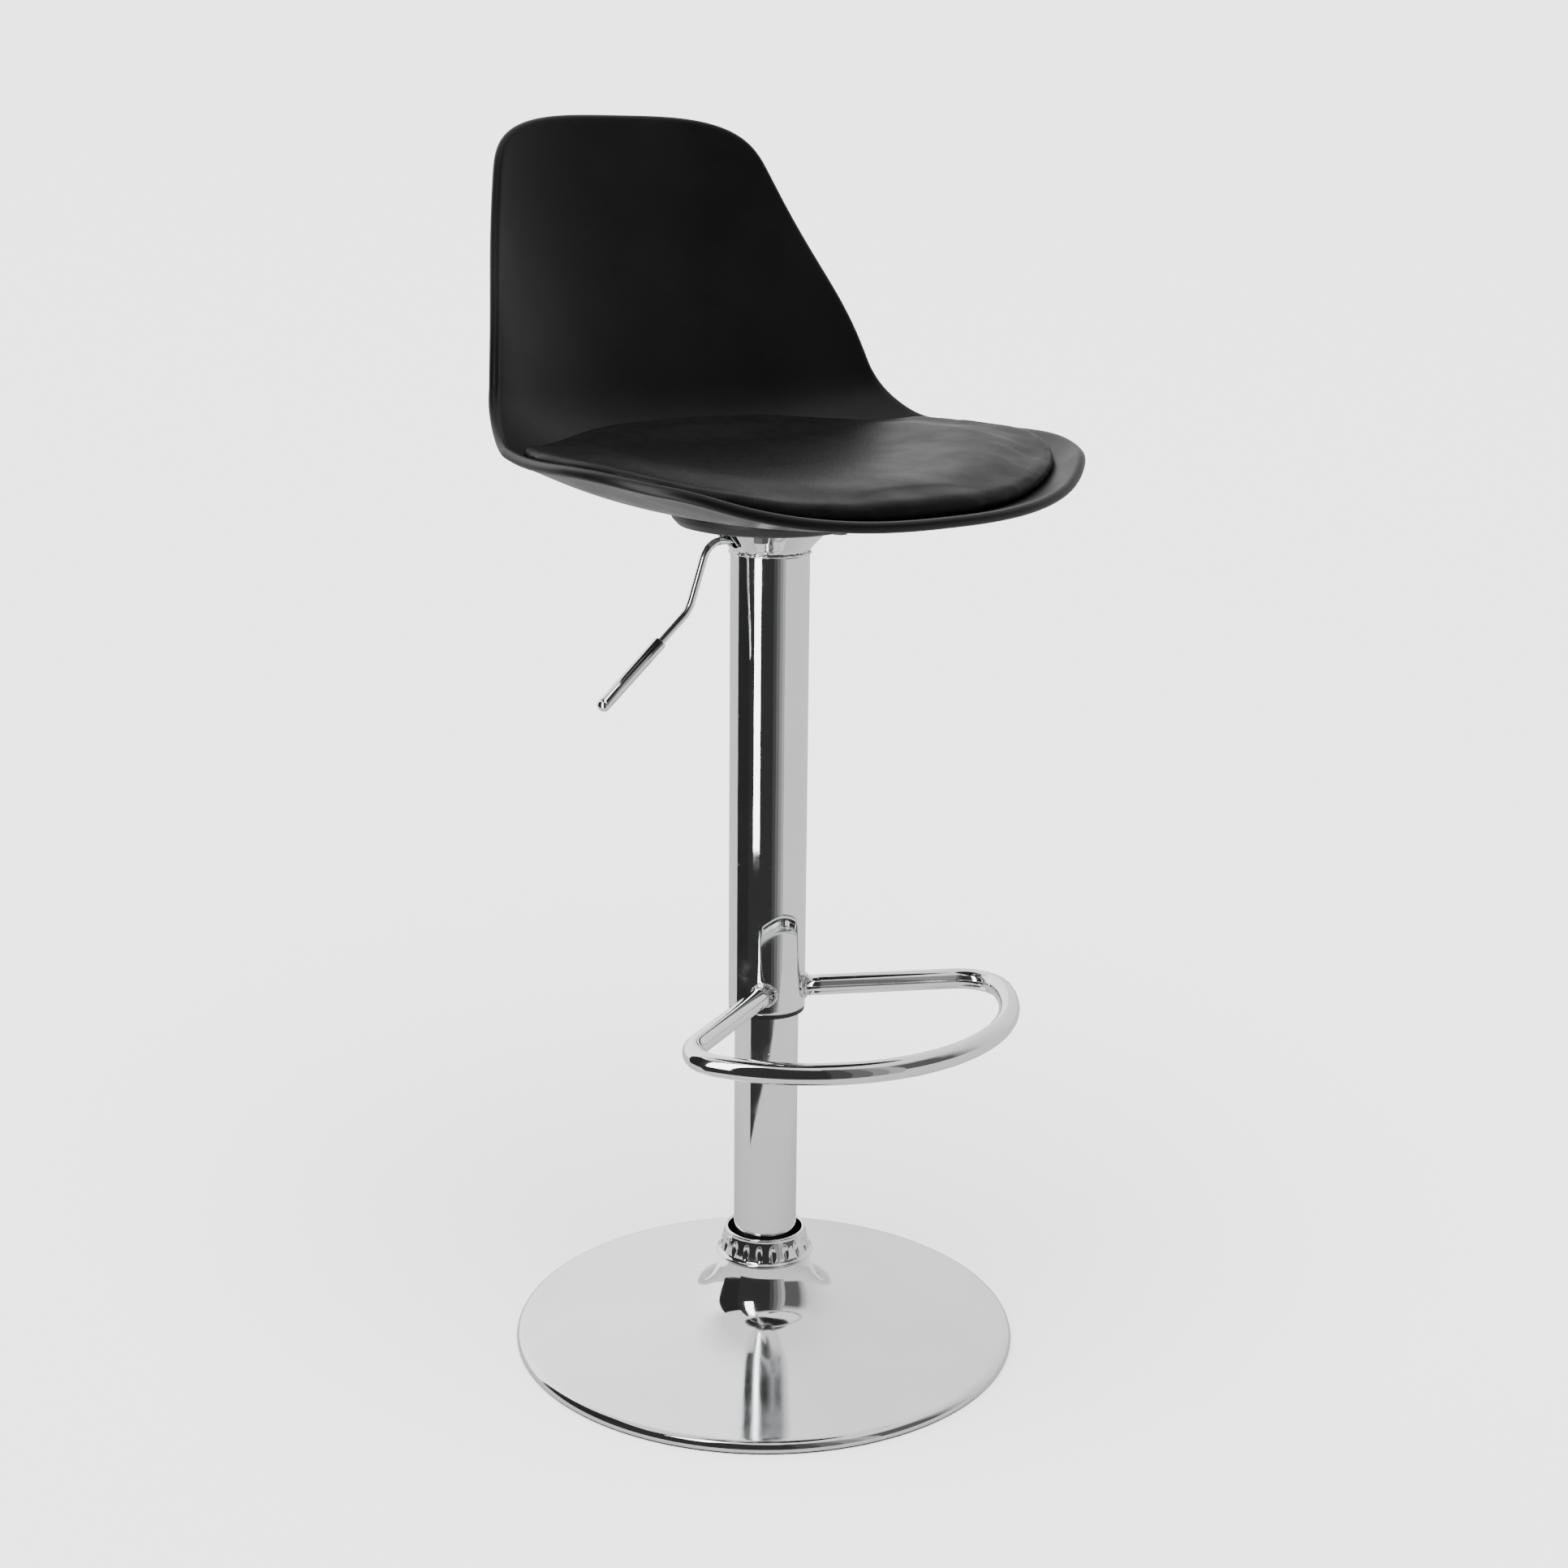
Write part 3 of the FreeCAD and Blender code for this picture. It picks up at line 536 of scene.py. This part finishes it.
def lever_piece(name, stations, nudge, replaced):
    """A turned piece in line with the lever's straight end."""
    along = (LEVER_END - LEVER_KNEE).normalized()
    start = LEVER_END - along * GRIP_LENGTH
    path = [start + along * (length + nudge * k) for k, (length, _) in enumerate(stations)]
    verts, faces = swept(path, lambda k, angle: stations[k][1], LEVER_SIDES, start_normal=Vector((0, 1, 0)))
    make_piece(name, verts, faces, CHROME, "lever", [replaced])


def build_lever():
    lever_piece("lever_sleeve", GRIP_STATIONS, GRIP_NUDGE, "lever_grip")
    lever_piece("lever_tip", TIP_STATIONS, 0.0, "lever_end_cap")


# ---------------------------------------------------------------- footrest
FOOTREST_R = 8.0
FOOTREST_SIDES = 40
ARM_SLOPE = 0.547
ARM_CROSSING = 11.2
ARM_ROOT_X = 22.3
ARM_STEPS = 12
CORNER_R = 32.0
CORNER_STEPS = 40
FRONT_R = 155.0
FRONT_CENTRE = 50.6
FRONT_STEPS = 44
SEAM_DEPTH = 0.14
SEAM_SPREAD = 0.45
SADDLE_DEPTH = 0.6
ARM_BEAD_R = 8.6
ARM_BEAD_OUT = 0.5
ARM_BEAD_SIZE = 1.5
ARM_BEAD_STEPS = 60
# Name, side and seed of the bead round each arm.
ARM_BEADS = [("weld_arm_left", 1, 11), ("weld_arm_right", -1, 17)]


def footrest_path(height):
    """The bar's centre line: a straight arm, a corner arc and the front arc, then their mirror image."""
    tilt = math.atan(ARM_SLOPE)
    lift = ARM_CROSSING + CORNER_R / math.cos(tilt) - FRONT_CENTRE
    a, b, c = 1 + ARM_SLOPE ** 2, 2 * ARM_SLOPE * lift, lift ** 2 - (FRONT_R - CORNER_R) ** 2
    corner_x = (-b + math.sqrt(b * b - 4 * a * c)) / (2 * a)
    corner_y = FRONT_CENTRE + lift + ARM_SLOPE * corner_x
    out = math.atan2(corner_y - FRONT_CENTRE, corner_x)
    root = Vector((ARM_ROOT_X, ARM_CROSSING + ARM_SLOPE * ARM_ROOT_X, height))
    end = Vector((corner_x + CORNER_R * math.sin(tilt), corner_y - CORNER_R * math.cos(tilt), height))
    half = [root.lerp(end, k / ARM_STEPS) for k in range(ARM_STEPS)]
    half += arc_points((corner_x, corner_y), CORNER_R, tilt - math.pi / 2, out, CORNER_STEPS, height)
    half += arc_points((0, FRONT_CENTRE), FRONT_R, out, math.pi / 2, FRONT_STEPS, height)[1:]
    other = [Vector((-p.x, p.y, p.z)) for p in reversed(half[:-1])]
    return [Vector((p.x, -p.y, p.z)) for p in half + other]


def arm_heading(side):
    """The way one arm leaves the sleeve."""
    tilt = math.atan(ARM_SLOPE)
    return Vector((side * math.cos(tilt), -math.sin(tilt), 0))


def onto_tube(point, outward, radius):
    """The point slid along a horizontal direction to a tube of that radius round the Z axis."""
    flat, ahead = point.to_2d(), outward.to_2d()
    along = flat.dot(ahead)
    return point + outward * (math.sqrt(along ** 2 - flat.length_squared + radius ** 2) - along)


def build_footrest():
    """The bar with its butt seam and saddled ends, and the bead where each arm meets the sleeve."""
    low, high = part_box("footrest")
    height = (low[2] + high[2]) / 2 / MM
    sleeve_r = node_radius("sleeve_tube")
    path = footrest_path(height)
    middle = len(path) // 2

    def radius(k, angle):
        return FOOTREST_R - SEAM_DEPTH * math.exp(-((k - middle) / SEAM_SPREAD) ** 2)

    verts, faces = swept(path, radius, FOOTREST_SIDES, start_normal=Vector((0, 0, 1)))
    first_ring = range(FOOTREST_SIDES)
    last_ring = range(len(verts) - FOOTREST_SIDES, len(verts))
    for side, ring in ((1, first_ring), (-1, last_ring)):
        for k in ring:
            verts[k] = onto_tube(verts[k] / MM, arm_heading(side), sleeve_r - SADDLE_DEPTH) * MM
    make_piece("footrest_bar", verts, faces, CHROME, "seat_column", ["footrest"])
    origin = Vector((0, -ARM_CROSSING, height))
    for name, side, seed in ARM_BEADS:
        outward = arm_heading(side)
        across = Vector((-outward.y, outward.x, 0))
        ring = []
        for k in range(ARM_BEAD_STEPS + 1):
            angle = 2 * math.pi * k / ARM_BEAD_STEPS
            spoke = across * math.cos(angle) + Vector((0, 0, 1)) * math.sin(angle)
            ring.append(onto_tube(origin + spoke * ARM_BEAD_R, outward, sleeve_r + ARM_BEAD_OUT))
        bead(name, ring, ARM_BEAD_SIZE, "seat_column", seed)


# ---------------------------------------------------------------- seat shell
# The centre line from the front lip to the back's top, as (length, first heading, last heading).
PROFILE_START = (-203.0, 688.5)
PROFILE = [(65.0, -13.0, -5.0), (100.0, -5.0, 0.0), (95.0, 0.0, 8.0), (112.0, 8.0, 74.0), (213.0, 74.0, 72.5)]
SHELL_LENGTH = 586.0
SHELL_T = 5.0
RIM_T = 8.4
RIM_ROLL = RIM_T / 2
RIM_LIFT = 0.7
RIM_POWER = 22
ROLL_STEPS = 7
INWARD = 0.9
SHELL_GRID = 84
SHELL_MIDDLE_S = 250.0
# How far the sides rise above the centre line, with local swells as (height, place, spread).
DISH_RISE = 46.0
DISH_HALF = 207.0
DISH_POWER = 2.6
WAIST = (8.0, 315.0, 55.0)
WING = (18.0, 420.0, 70.0)
SHOULDER = (4.0, 50.0, 22.0)
# The outline's half width, narrowing behind its widest place.
WIDEST_S = 155.0
HALF_WIDTH = 212.0
FRONT_POWER = 2.5
TAPER = 0.01544
TAPER_POWER = 1.45
BACK_SWELL = (3.0, 400.0, 70.0)
BACK_CORNER = 46.0
BACK_CORNER_POWER = 3.2
FAR_REACH = 420.0
HALVINGS = 26


def swell(s, height, place, spread):
    """A smooth local rise along the shell."""
    return height * math.exp(-((s - place) / spread) ** 2)


def centre_line(s):
    """Depth, height and heading of the shell's centre line at length s from the front lip."""
    y, z = PROFILE_START
    left = s
    for length, start, end in PROFILE:
        start, end = math.radians(start), math.radians(end)
        part = min(left, length)
        bend = (end - start) / length
        heading = start + bend * part
        y += (math.sin(heading) - math.sin(start)) / bend
        z += (math.cos(start) - math.cos(heading)) / bend
        left -= part
        if left <= 0:
            return y, z, heading
    return y + left * math.cos(heading), z + left * math.sin(heading), heading


def on_shell(x, s):
    """A point of the shell's sitting surface, mm."""
    y, z, heading = centre_line(s)
    side = DISH_RISE + swell(s, *WAIST) + swell(s, *WING) + swell(s, *SHOULDER)
    rise = side * (abs(x) / DISH_HALF) ** DISH_POWER
    return Vector((x, y - math.sin(heading) * rise, z + math.cos(heading) * rise))


def half_width(s):
    if s < WIDEST_S:
        ahead = (WIDEST_S - s) / WIDEST_S
        return HALF_WIDTH * max(1 - ahead ** FRONT_POWER, 0.0) ** (1 / FRONT_POWER)
    width = HALF_WIDTH - TAPER * (s - WIDEST_S) ** TAPER_POWER + swell(s, *BACK_SWELL)
    corner = (s - (SHELL_LENGTH - BACK_CORNER)) / BACK_CORNER
    if corner > 0:
        width *= max(1 - corner ** BACK_CORNER_POWER, 0.0) ** (1 / BACK_CORNER_POWER)
    return width


def outline_reach(angle, centre_s):
    """Distance from the outline's middle to its edge in one direction of the unrolled shell."""
    low, high = 0.0, FAR_REACH
    dx, ds = math.cos(angle), math.sin(angle)
    for _ in range(HALVINGS):
        mid = (low + high) / 2
        s = centre_s + mid * ds
        inside = 0 < s < SHELL_LENGTH and abs(mid * dx) < half_width(s)
        low, high = (mid, high) if inside else (low, mid)
    return low


def surface_normal(x, s):
    step = 0.5
    along = on_shell(x, s + step) - on_shell(x, s - step)
    across = on_shell(x + step, s) - on_shell(x - step, s)
    return across.cross(along).normalized()


def disc_grid(count):
    """A square grid bent onto the unit disc, as (radius, angle) with no pole."""
    places = []
    for i in range(count + 1):
        a = 2 * i / count - 1
        for j in range(count + 1):
            b = 2 * j / count - 1
            x, y = a * math.sqrt(1 - b * b / 2), b * math.sqrt(1 - a * a / 2)
            places.append((math.hypot(x, y), math.atan2(y, x)))
    return places


def grid_edge(count):
    """Indices of a grid's outer vertices, in order round it."""
    places = [(i, 0) for i in range(count)] + [(count, j) for j in range(count)]
    places += [(i, count) for i in range(count, 0, -1)] + [(0, j) for j in range(count, 0, -1)]
    return [i * (count + 1) + j for i, j in places]


def sheet_faces(count):
    """Faces of an upper grid and of a lower one that follows it in the list of vertices."""
    size = count + 1
    below = size * size
    faces = []
    for i in range(count):
        for j in range(count):
            a, b, c, d = i * size + j, (i + 1) * size + j, (i + 1) * size + j + 1, i * size + j + 1
            faces.append((a, b, c, d))
            faces.append((d + below, c + below, b + below, a + below))
    return faces


def edge_faces(rings):
    """Faces between each closed ring of vertices and the next."""
    faces = []
    for inner, outer in zip(rings, rings[1:]):
        for k in range(len(inner)):
            n = (k + 1) % len(inner)
            faces.append((inner[k], inner[n], outer[n], outer[k]))
    return faces


def roll_ring(step, loop, places, upper, lower):
    """One ring of the shell's half-round rim, between its upper and its lower surface."""
    turn = math.pi / 2 - math.pi * step / ROLL_STEPS
    ring = []
    for k, index in enumerate(loop):
        top, bottom = upper[index], lower[index]
        before, after = upper[loop[k - 1]], upper[loop[(k + 1) % len(loop)]]
        up = (top - bottom).normalized()
        out = (after - before).cross(up).normalized()
        x, s = places[index]
        if out.dot(top - on_shell(x * INWARD, SHELL_MIDDLE_S + (s - SHELL_MIDDLE_S) * INWARD)) < 0:
            out = -out
        roll = (top - bottom).length / 2
        ring.append((top + bottom) / 2 + up * roll * math.sin(turn) + out * roll * math.cos(turn))
    return ring


def build_shell():
    """The bucket: two dished sheets, thicker towards the rim, joined by a half-round edge."""
    places, upper, lower = [], [], []
    for radius, angle in disc_grid(SHELL_GRID):
        reach = outline_reach(angle, SHELL_MIDDLE_S) - RIM_ROLL
        x, s = radius * reach * math.cos(angle), SHELL_MIDDLE_S + radius * reach * math.sin(angle)
        edge = radius ** RIM_POWER
        normal = surface_normal(x, s)
        top = on_shell(x, s) + normal * RIM_LIFT * edge
        places.append((x, s))
        upper.append(top)
        lower.append(top - normal * (SHELL_T + (RIM_T - SHELL_T) * edge))
    verts = upper + lower
    loop = grid_edge(SHELL_GRID)
    rings = [loop]
    for step in range(1, ROLL_STEPS):
        rings.append(range(len(verts), len(verts) + len(loop)))
        verts += roll_ring(step, loop, places, upper, lower)
    rings.append([index + len(upper) for index in loop])
    faces = sheet_faces(SHELL_GRID) + edge_faces(rings)
    make_piece("bucket_shell", [v * MM for v in verts], faces, SHELL_PLASTIC, "seat_column",
               ["seat_shell"], subdivide=1)


# ---------------------------------------------------------------- cushion
PAD_BASE = 3.5
PAD_SKIRT = 0.9
PAD_CENTRE_S, PAD_FRONT, PAD_BACK, PAD_HALF = 175.0, 153.0, 167.0, 203.5
PAD_OUTLINE_POWER = 2.4
PAD_EDGE_HEIGHT = 10.0
PAD_CROWN = 15.0
PAD_CROWN_POWER = 2.6
PAD_GRID = 72
PAD_INSET = 0.985
PAD_BULGE = 0.022
PAD_EDGE_STEPS = 6
BOARD_REACH = 0.92
BOARD_FADE = 0.04
PRESSURE = 4.0
MOST_SHIFT = 7.0
VOXEL = 5
CLOTH_FRAMES = 20
STILL_HEIGHT = 2.0
FREE_HEIGHT = 6.0
PROBE_STEP = 6
PROBE_HALF = 210
PROBE_LENGTH = 360
SOFTENING = 26
SOFTENING_SHARE = 0.6


def pad_place(radius, angle):
    """Place on the unrolled shell for a place on the cushion's unit disc."""
    across, along = math.cos(angle), math.sin(angle)
    power = 2 / PAD_OUTLINE_POWER
    length = PAD_BACK if along > 0 else PAD_FRONT
    x = radius * PAD_HALF * math.copysign(abs(across) ** power, across)
    return x, PAD_CENTRE_S + radius * length * math.copysign(abs(along) ** power, along)


def pad_height(radius):
    return PAD_EDGE_HEIGHT + PAD_CROWN * (1 - radius ** PAD_CROWN_POWER)


def pad_foot(radius):
    """The cover's underside lies on the board and drops to the shell outside it."""
    drop = unit_share((radius - BOARD_REACH) / BOARD_FADE)
    return PAD_BASE + (PAD_SKIRT - PAD_BASE) * drop


def build_pad():
    """A crowned closed cushion, its edge tucked in, plumped by a short cloth simulation."""
    grid = disc_grid(PAD_GRID)
    top, bottom = [], []
    for radius, angle in grid:
        x, s = pad_place(min(radius, 1.0) * PAD_INSET, angle)
        top.append(on_shell(x, s) + surface_normal(x, s) * (PAD_BASE + pad_height(radius)))
        bottom.append(on_shell(x, s) + surface_normal(x, s) * pad_foot(radius))
    verts = top + bottom
    loop = grid_edge(PAD_GRID)
    rings = [loop]
    half = (PAD_BASE + pad_height(1.0) - PAD_SKIRT) / 2
    for step in range(1, PAD_EDGE_STEPS):
        turn = math.pi / 2 - math.pi * step / PAD_EDGE_STEPS
        lift = PAD_SKIRT + half + half * math.sin(turn)
        rings.append(range(len(verts), len(verts) + len(loop)))
        for index in loop:
            x, s = pad_place(PAD_INSET + PAD_BULGE * math.cos(turn), grid[index][1])
            verts.append(on_shell(x, s) + surface_normal(x, s) * lift)
    rings.append([index + len(top) for index in loop])
    faces = sheet_faces(PAD_GRID) + edge_faces(rings)
    pad = make_piece("seat_cushion", [v * MM for v in verts], faces, LEATHER, "seat_column",
                     ["seat_pad"])
    plump(pad)
    modifier = pad.modifiers.new("smooth", "SUBSURF")
    modifier.levels = 1
    modifier.render_levels = 1


def plump(pad):
    """Remeshes the cushion, blows it up as cloth and keeps its underside where it was."""
    bpy.context.view_layer.objects.active = pad
    pad.data.remesh_voxel_size = VOXEL * MM
    with bpy.context.temp_override(active_object=pad, object=pad, selected_objects=[pad]):
        bpy.ops.object.voxel_remesh()
    for polygon in pad.data.polygons:
        polygon.use_smooth = True
    rest = [v.co.copy() for v in pad.data.vertices]
    moved = blown_up(pad)
    shifts = softened(pad.data.edges, held_shifts(rest, moved))
    for vertex, before, shift in zip(pad.data.vertices, rest, shifts):
        vertex.co = before + shift


def blown_up(pad):
    """Places of the cushion's vertices after the cloth simulation, which is then taken away."""
    cloth = pad.modifiers.new("plump", "CLOTH")
    cloth.settings.quality = 5
    cloth.settings.mass = 0.3
    cloth.settings.tension_stiffness = 25
    cloth.settings.compression_stiffness = 25
    cloth.settings.bending_stiffness = 8
    cloth.settings.use_pressure = True
    cloth.settings.uniform_pressure_force = PRESSURE
    cloth.settings.effector_weights.gravity = 0
    cloth.point_cache.frame_start = 1
    cloth.point_cache.frame_end = CLOTH_FRAMES
    for frame_number in range(1, CLOTH_FRAMES + 1):
        bpy.context.scene.frame_set(frame_number)
    evaluated = pad.evaluated_get(bpy.context.evaluated_depsgraph_get())
    moved = [v.co.copy() for v in evaluated.data.vertices]
    pad.modifiers.remove(cloth)
    bpy.context.scene.frame_set(1)
    return moved


def held_shifts(rest, moved):
    """Each vertex's shift, capped, and faded out towards the underside."""
    probes = [(x, s) for x in range(-PROBE_HALF, PROBE_HALF + 1, PROBE_STEP)
              for s in range(0, PROBE_LENGTH, PROBE_STEP)]
    tree = KDTree(len(probes))
    for k, (x, s) in enumerate(probes):
        tree.insert(on_shell(x, s) * MM, k)
    tree.balance()
    shifts = []
    for before, after in zip(rest, moved):
        x, s = probes[tree.find(before)[1]]
        height = (before / MM - on_shell(x, s)).dot(surface_normal(x, s))
        shift = after - before
        if shift.length > MOST_SHIFT * MM:
            shift = shift.normalized() * MOST_SHIFT * MM
        shifts.append(shift * unit_share((height - PAD_BASE - STILL_HEIGHT) / FREE_HEIGHT))
    return shifts


def softened(edges, shifts):
    """The shifts averaged with their neighbours' again and again, which takes out wrinkles."""
    neighbours = [[] for _ in shifts]
    for edge in edges:
        a, b = edge.vertices
        neighbours[a].append(b)
        neighbours[b].append(a)
    for _ in range(SOFTENING):
        shifts = [shifts[k].lerp(sum((shifts[n] for n in around), Vector()) / len(around), SOFTENING_SHARE)
                  for k, around in enumerate(neighbours)]
    return shifts


# ---------------------------------------------------------------- disc under the seat
DISC_BORE_R = 62.5
DISC_FOOT_R = 69.0
DISC_STEP = 1.4
DISC_STEP_RISE = 5.0
DISC_SIDE_RISE = 9.0
DISC_RISE = 15.0
DISC_FOLLOWS_FROM = 12.0
DISC_OVERLAP = 0.4
DISC_SEGMENTS = 128
AXIS_S = 203.4


def build_disc():
    """Moulded spacer under the shell, with a rounded foot; its top follows the shell's underside."""
    foot, r = node_foot("seat_disc"), node_radius("seat_disc")

    def follow(radius, z, angle):
        if z < foot + DISC_FOLLOWS_FROM:
            return radius, z
        x, y = radius * math.cos(angle), radius * math.sin(angle)
        return radius, on_shell(x, y + AXIS_S).z - SHELL_T + DISC_OVERLAP

    section = rounded([(DISC_BORE_R, foot, 0.4), (DISC_FOOT_R, foot, 3.0),
                       (r - DISC_STEP, foot + DISC_STEP_RISE, 4.0), (r, foot + DISC_SIDE_RISE, 2.0),
                       (r, foot + DISC_RISE, 0), (DISC_BORE_R, foot + DISC_RISE, 0)])
    verts, faces = lathe([tuple(p) for p in section], DISC_SEGMENTS, follow)
    make_piece("disc_skirt", verts, faces, DISC_PLASTIC, "seat_column", ["seat_disc"])


build_cover()
build_collar()
build_column()
build_sleeve()
build_cone()
build_lever()
build_footrest()
build_shell()
build_pad()
build_disc()


# ---------------------------------------------------------------- stage
CAMERA_PLACE = Vector((-1.0987, -1.4258, 0.927))
CAMERA_AHEAD = Vector((0.5958, 0.7626, -0.2521))
CAMERA_ROLL = math.radians(0.55)
SENSOR = 36.0
LENS = 55.658385
FACING = math.atan2(CAMERA_PLACE.y, CAMERA_PLACE.x)
FLOOR_HALF = 400.0
FLOOR_WHITE = 0.93
FLOOR_MIRRORED = 0.27
BACKGROUND = 3.3
WORLD_GAIN = 2.5
OVERHEAD = 0.5
# Brightness round the horizon, as (degrees from the camera's side, grey).
BAYS = [(-180, 0.80), (-105, 0.95), (-92, 0.07), (0, 0.05), (80, 0.05), (105, 0.40), (179, 0.60)]
# Cards: start and end in degrees from the camera's side, radius at each, foot and top height, brightness.
CARDS = [(-101, -57, 0.80, 0.80, 0.0, 1.15, 0.03), (-57, 12, 0.42, 0.66, 0.0, 1.15, 0.04),
         (-42, -24, 0.38, 0.38, 0.31, 1.0, 7.0), (12, 21, 0.66, 0.72, 0.0, 1.5, 0.08),
         (21, 30, 0.72, 0.78, 0.0, 1.5, 0.17), (30, 38, 0.78, 0.86, 0.0, 1.5, 0.33),
         (38, 46, 0.86, 0.95, 0.0, 1.5, 0.55)]
CARD_STEPS = 12
SUN_AHEAD = Vector((0.25, 0.3, -1.0))
SUN_STRENGTH = 9.0
SUN_SPREAD = math.radians(60)


def stage_object(name, verts, faces, material):
    mesh = bpy.data.meshes.new(name)
    mesh.from_pydata(verts, [], faces)
    mesh.materials.append(material)
    obj = bpy.data.objects.new(name, mesh)
    bpy.context.scene.collection.objects.link(obj)
    return obj


def build_floor():
    """A pale floor, darker where the chrome mirrors it."""
    half = FLOOR_HALF
    corners = [(-half, -half, 0), (half, -half, 0), (half, half, 0), (-half, half, 0)]
    material, tree, shader = new_material("floor_paper")
    seen = node(tree, "ShaderNodeLightPath")
    stops = [(0.0, grey(FLOOR_WHITE)), (1.0, grey(FLOOR_MIRRORED))]
    tree.links.new(ramp(tree, seen.outputs["Is Glossy Ray"], stops), shader.inputs["Base Color"])
    shader.inputs["Roughness"].default_value = 0.9
    shader.inputs["Specular IOR Level"].default_value = 0.1
    floor = stage_object("floor", corners, [(0, 1, 2, 3)], material)


def studio_card(name, start, end, near, far, foot, top, glow):
    """An upright card round the stool, seen only in reflections; degrees from the camera's side."""
    verts = []
    for z in (foot, top):
        for k in range(CARD_STEPS + 1):
            angle = FACING + math.radians(start + (end - start) * k / CARD_STEPS)
            radius = near + (far - near) * k / CARD_STEPS
            verts.append((radius * math.cos(angle), radius * math.sin(angle), z))
    faces = [(k, k + 1, k + 2 + CARD_STEPS, k + 1 + CARD_STEPS) for k in range(CARD_STEPS)]
    material, _, shader = new_material(name)
    shader.inputs["Base Color"].default_value = grey(0.0)
    shader.inputs["Specular IOR Level"].default_value = 0.0
    shader.inputs["Emission Color"].default_value = grey(1.0)
    shader.inputs["Emission Strength"].default_value = glow
    card = stage_object(name, verts, faces, material)
    card.visible_camera = False
    card.visible_diffuse = False
    card.visible_shadow = False


def build_cards():
    for k, settings in enumerate(CARDS):
        studio_card("studio_card_%d" % k, *settings)


def world_bays():
    """The bays as stops of a ramp that goes once round the horizon."""
    stops = []
    for angle, value in BAYS:
        place = ((math.degrees(FACING) + angle + 180.0) % 360.0) / 360.0
        stops.append((place, grey(value)))
    stops.sort()
    return [(0.0, stops[0][1])] + stops + [(1.0, stops[-1][1])]


def build_world():
    """A pale studio: bright behind the stool and overhead, dim on the camera's side."""
    world = bpy.data.worlds.new("studio")
    bpy.context.scene.world = world
    world.use_nodes = True
    tree = world.node_tree
    background = tree.nodes["Background"]
    direction = node(tree, "ShaderNodeTexCoord").outputs["Generated"]
    parts = node(tree, "ShaderNodeSeparateXYZ")
    tree.links.new(direction, parts.inputs[0])
    turn = node(tree, "ShaderNodeMath", operation="ARCTAN2")
    tree.links.new(parts.outputs["Y"], turn.inputs[0])
    tree.links.new(parts.outputs["X"], turn.inputs[1])
    unit = node(tree, "ShaderNodeMapRange", {"From Min": -math.pi, "From Max": math.pi})
    tree.links.new(turn.outputs[0], unit.inputs["Value"])
    around = ramp(tree, unit.outputs[0], world_bays())
    height = ramp(tree, parts.outputs["Z"], [(0.0, grey(0.0)), (0.70, grey(0.0)), (0.85, grey(1.0))])
    mix = node(tree, "ShaderNodeMix", data_type="RGBA")
    tree.links.new(height, mix.inputs[0])
    tree.links.new(around, mix.inputs[6])
    mix.inputs[7].default_value = grey(OVERHEAD)
    seen = node(tree, "ShaderNodeLightPath")
    final = node(tree, "ShaderNodeMix", data_type="RGBA")
    tree.links.new(seen.outputs["Is Camera Ray"], final.inputs[0])
    tree.links.new(mix.outputs[2], final.inputs[6])
    final.inputs[7].default_value = grey(BACKGROUND / WORLD_GAIN)
    tree.links.new(final.outputs[2], background.inputs["Color"])
    background.inputs["Strength"].default_value = WORLD_GAIN


def build_camera():
    data = bpy.data.cameras.new("camera")
    data.sensor_width = SENSOR
    data.lens = LENS
    camera = bpy.data.objects.new("camera", data)
    bpy.context.scene.collection.objects.link(camera)
    camera.location = CAMERA_PLACE
    aim = CAMERA_AHEAD.to_track_quat("-Z", "Y").to_matrix().to_4x4()
    camera.rotation_euler = (aim @ Matrix.Rotation(CAMERA_ROLL, 4, "Z")).to_euler()
    bpy.context.scene.camera = camera


def build_sun():
    """A broad soft light from above that makes no highlight of its own."""
    data = bpy.data.lights.new("soft_top", "SUN")
    data.energy = SUN_STRENGTH
    data.angle = SUN_SPREAD
    lamp = bpy.data.objects.new("soft_top", data)
    bpy.context.scene.collection.objects.link(lamp)
    lamp.rotation_euler = SUN_AHEAD.to_track_quat("-Z", "Y").to_euler()
    lamp.visible_glossy = False


build_floor()
build_cards()
build_world()
build_camera()
build_sun()
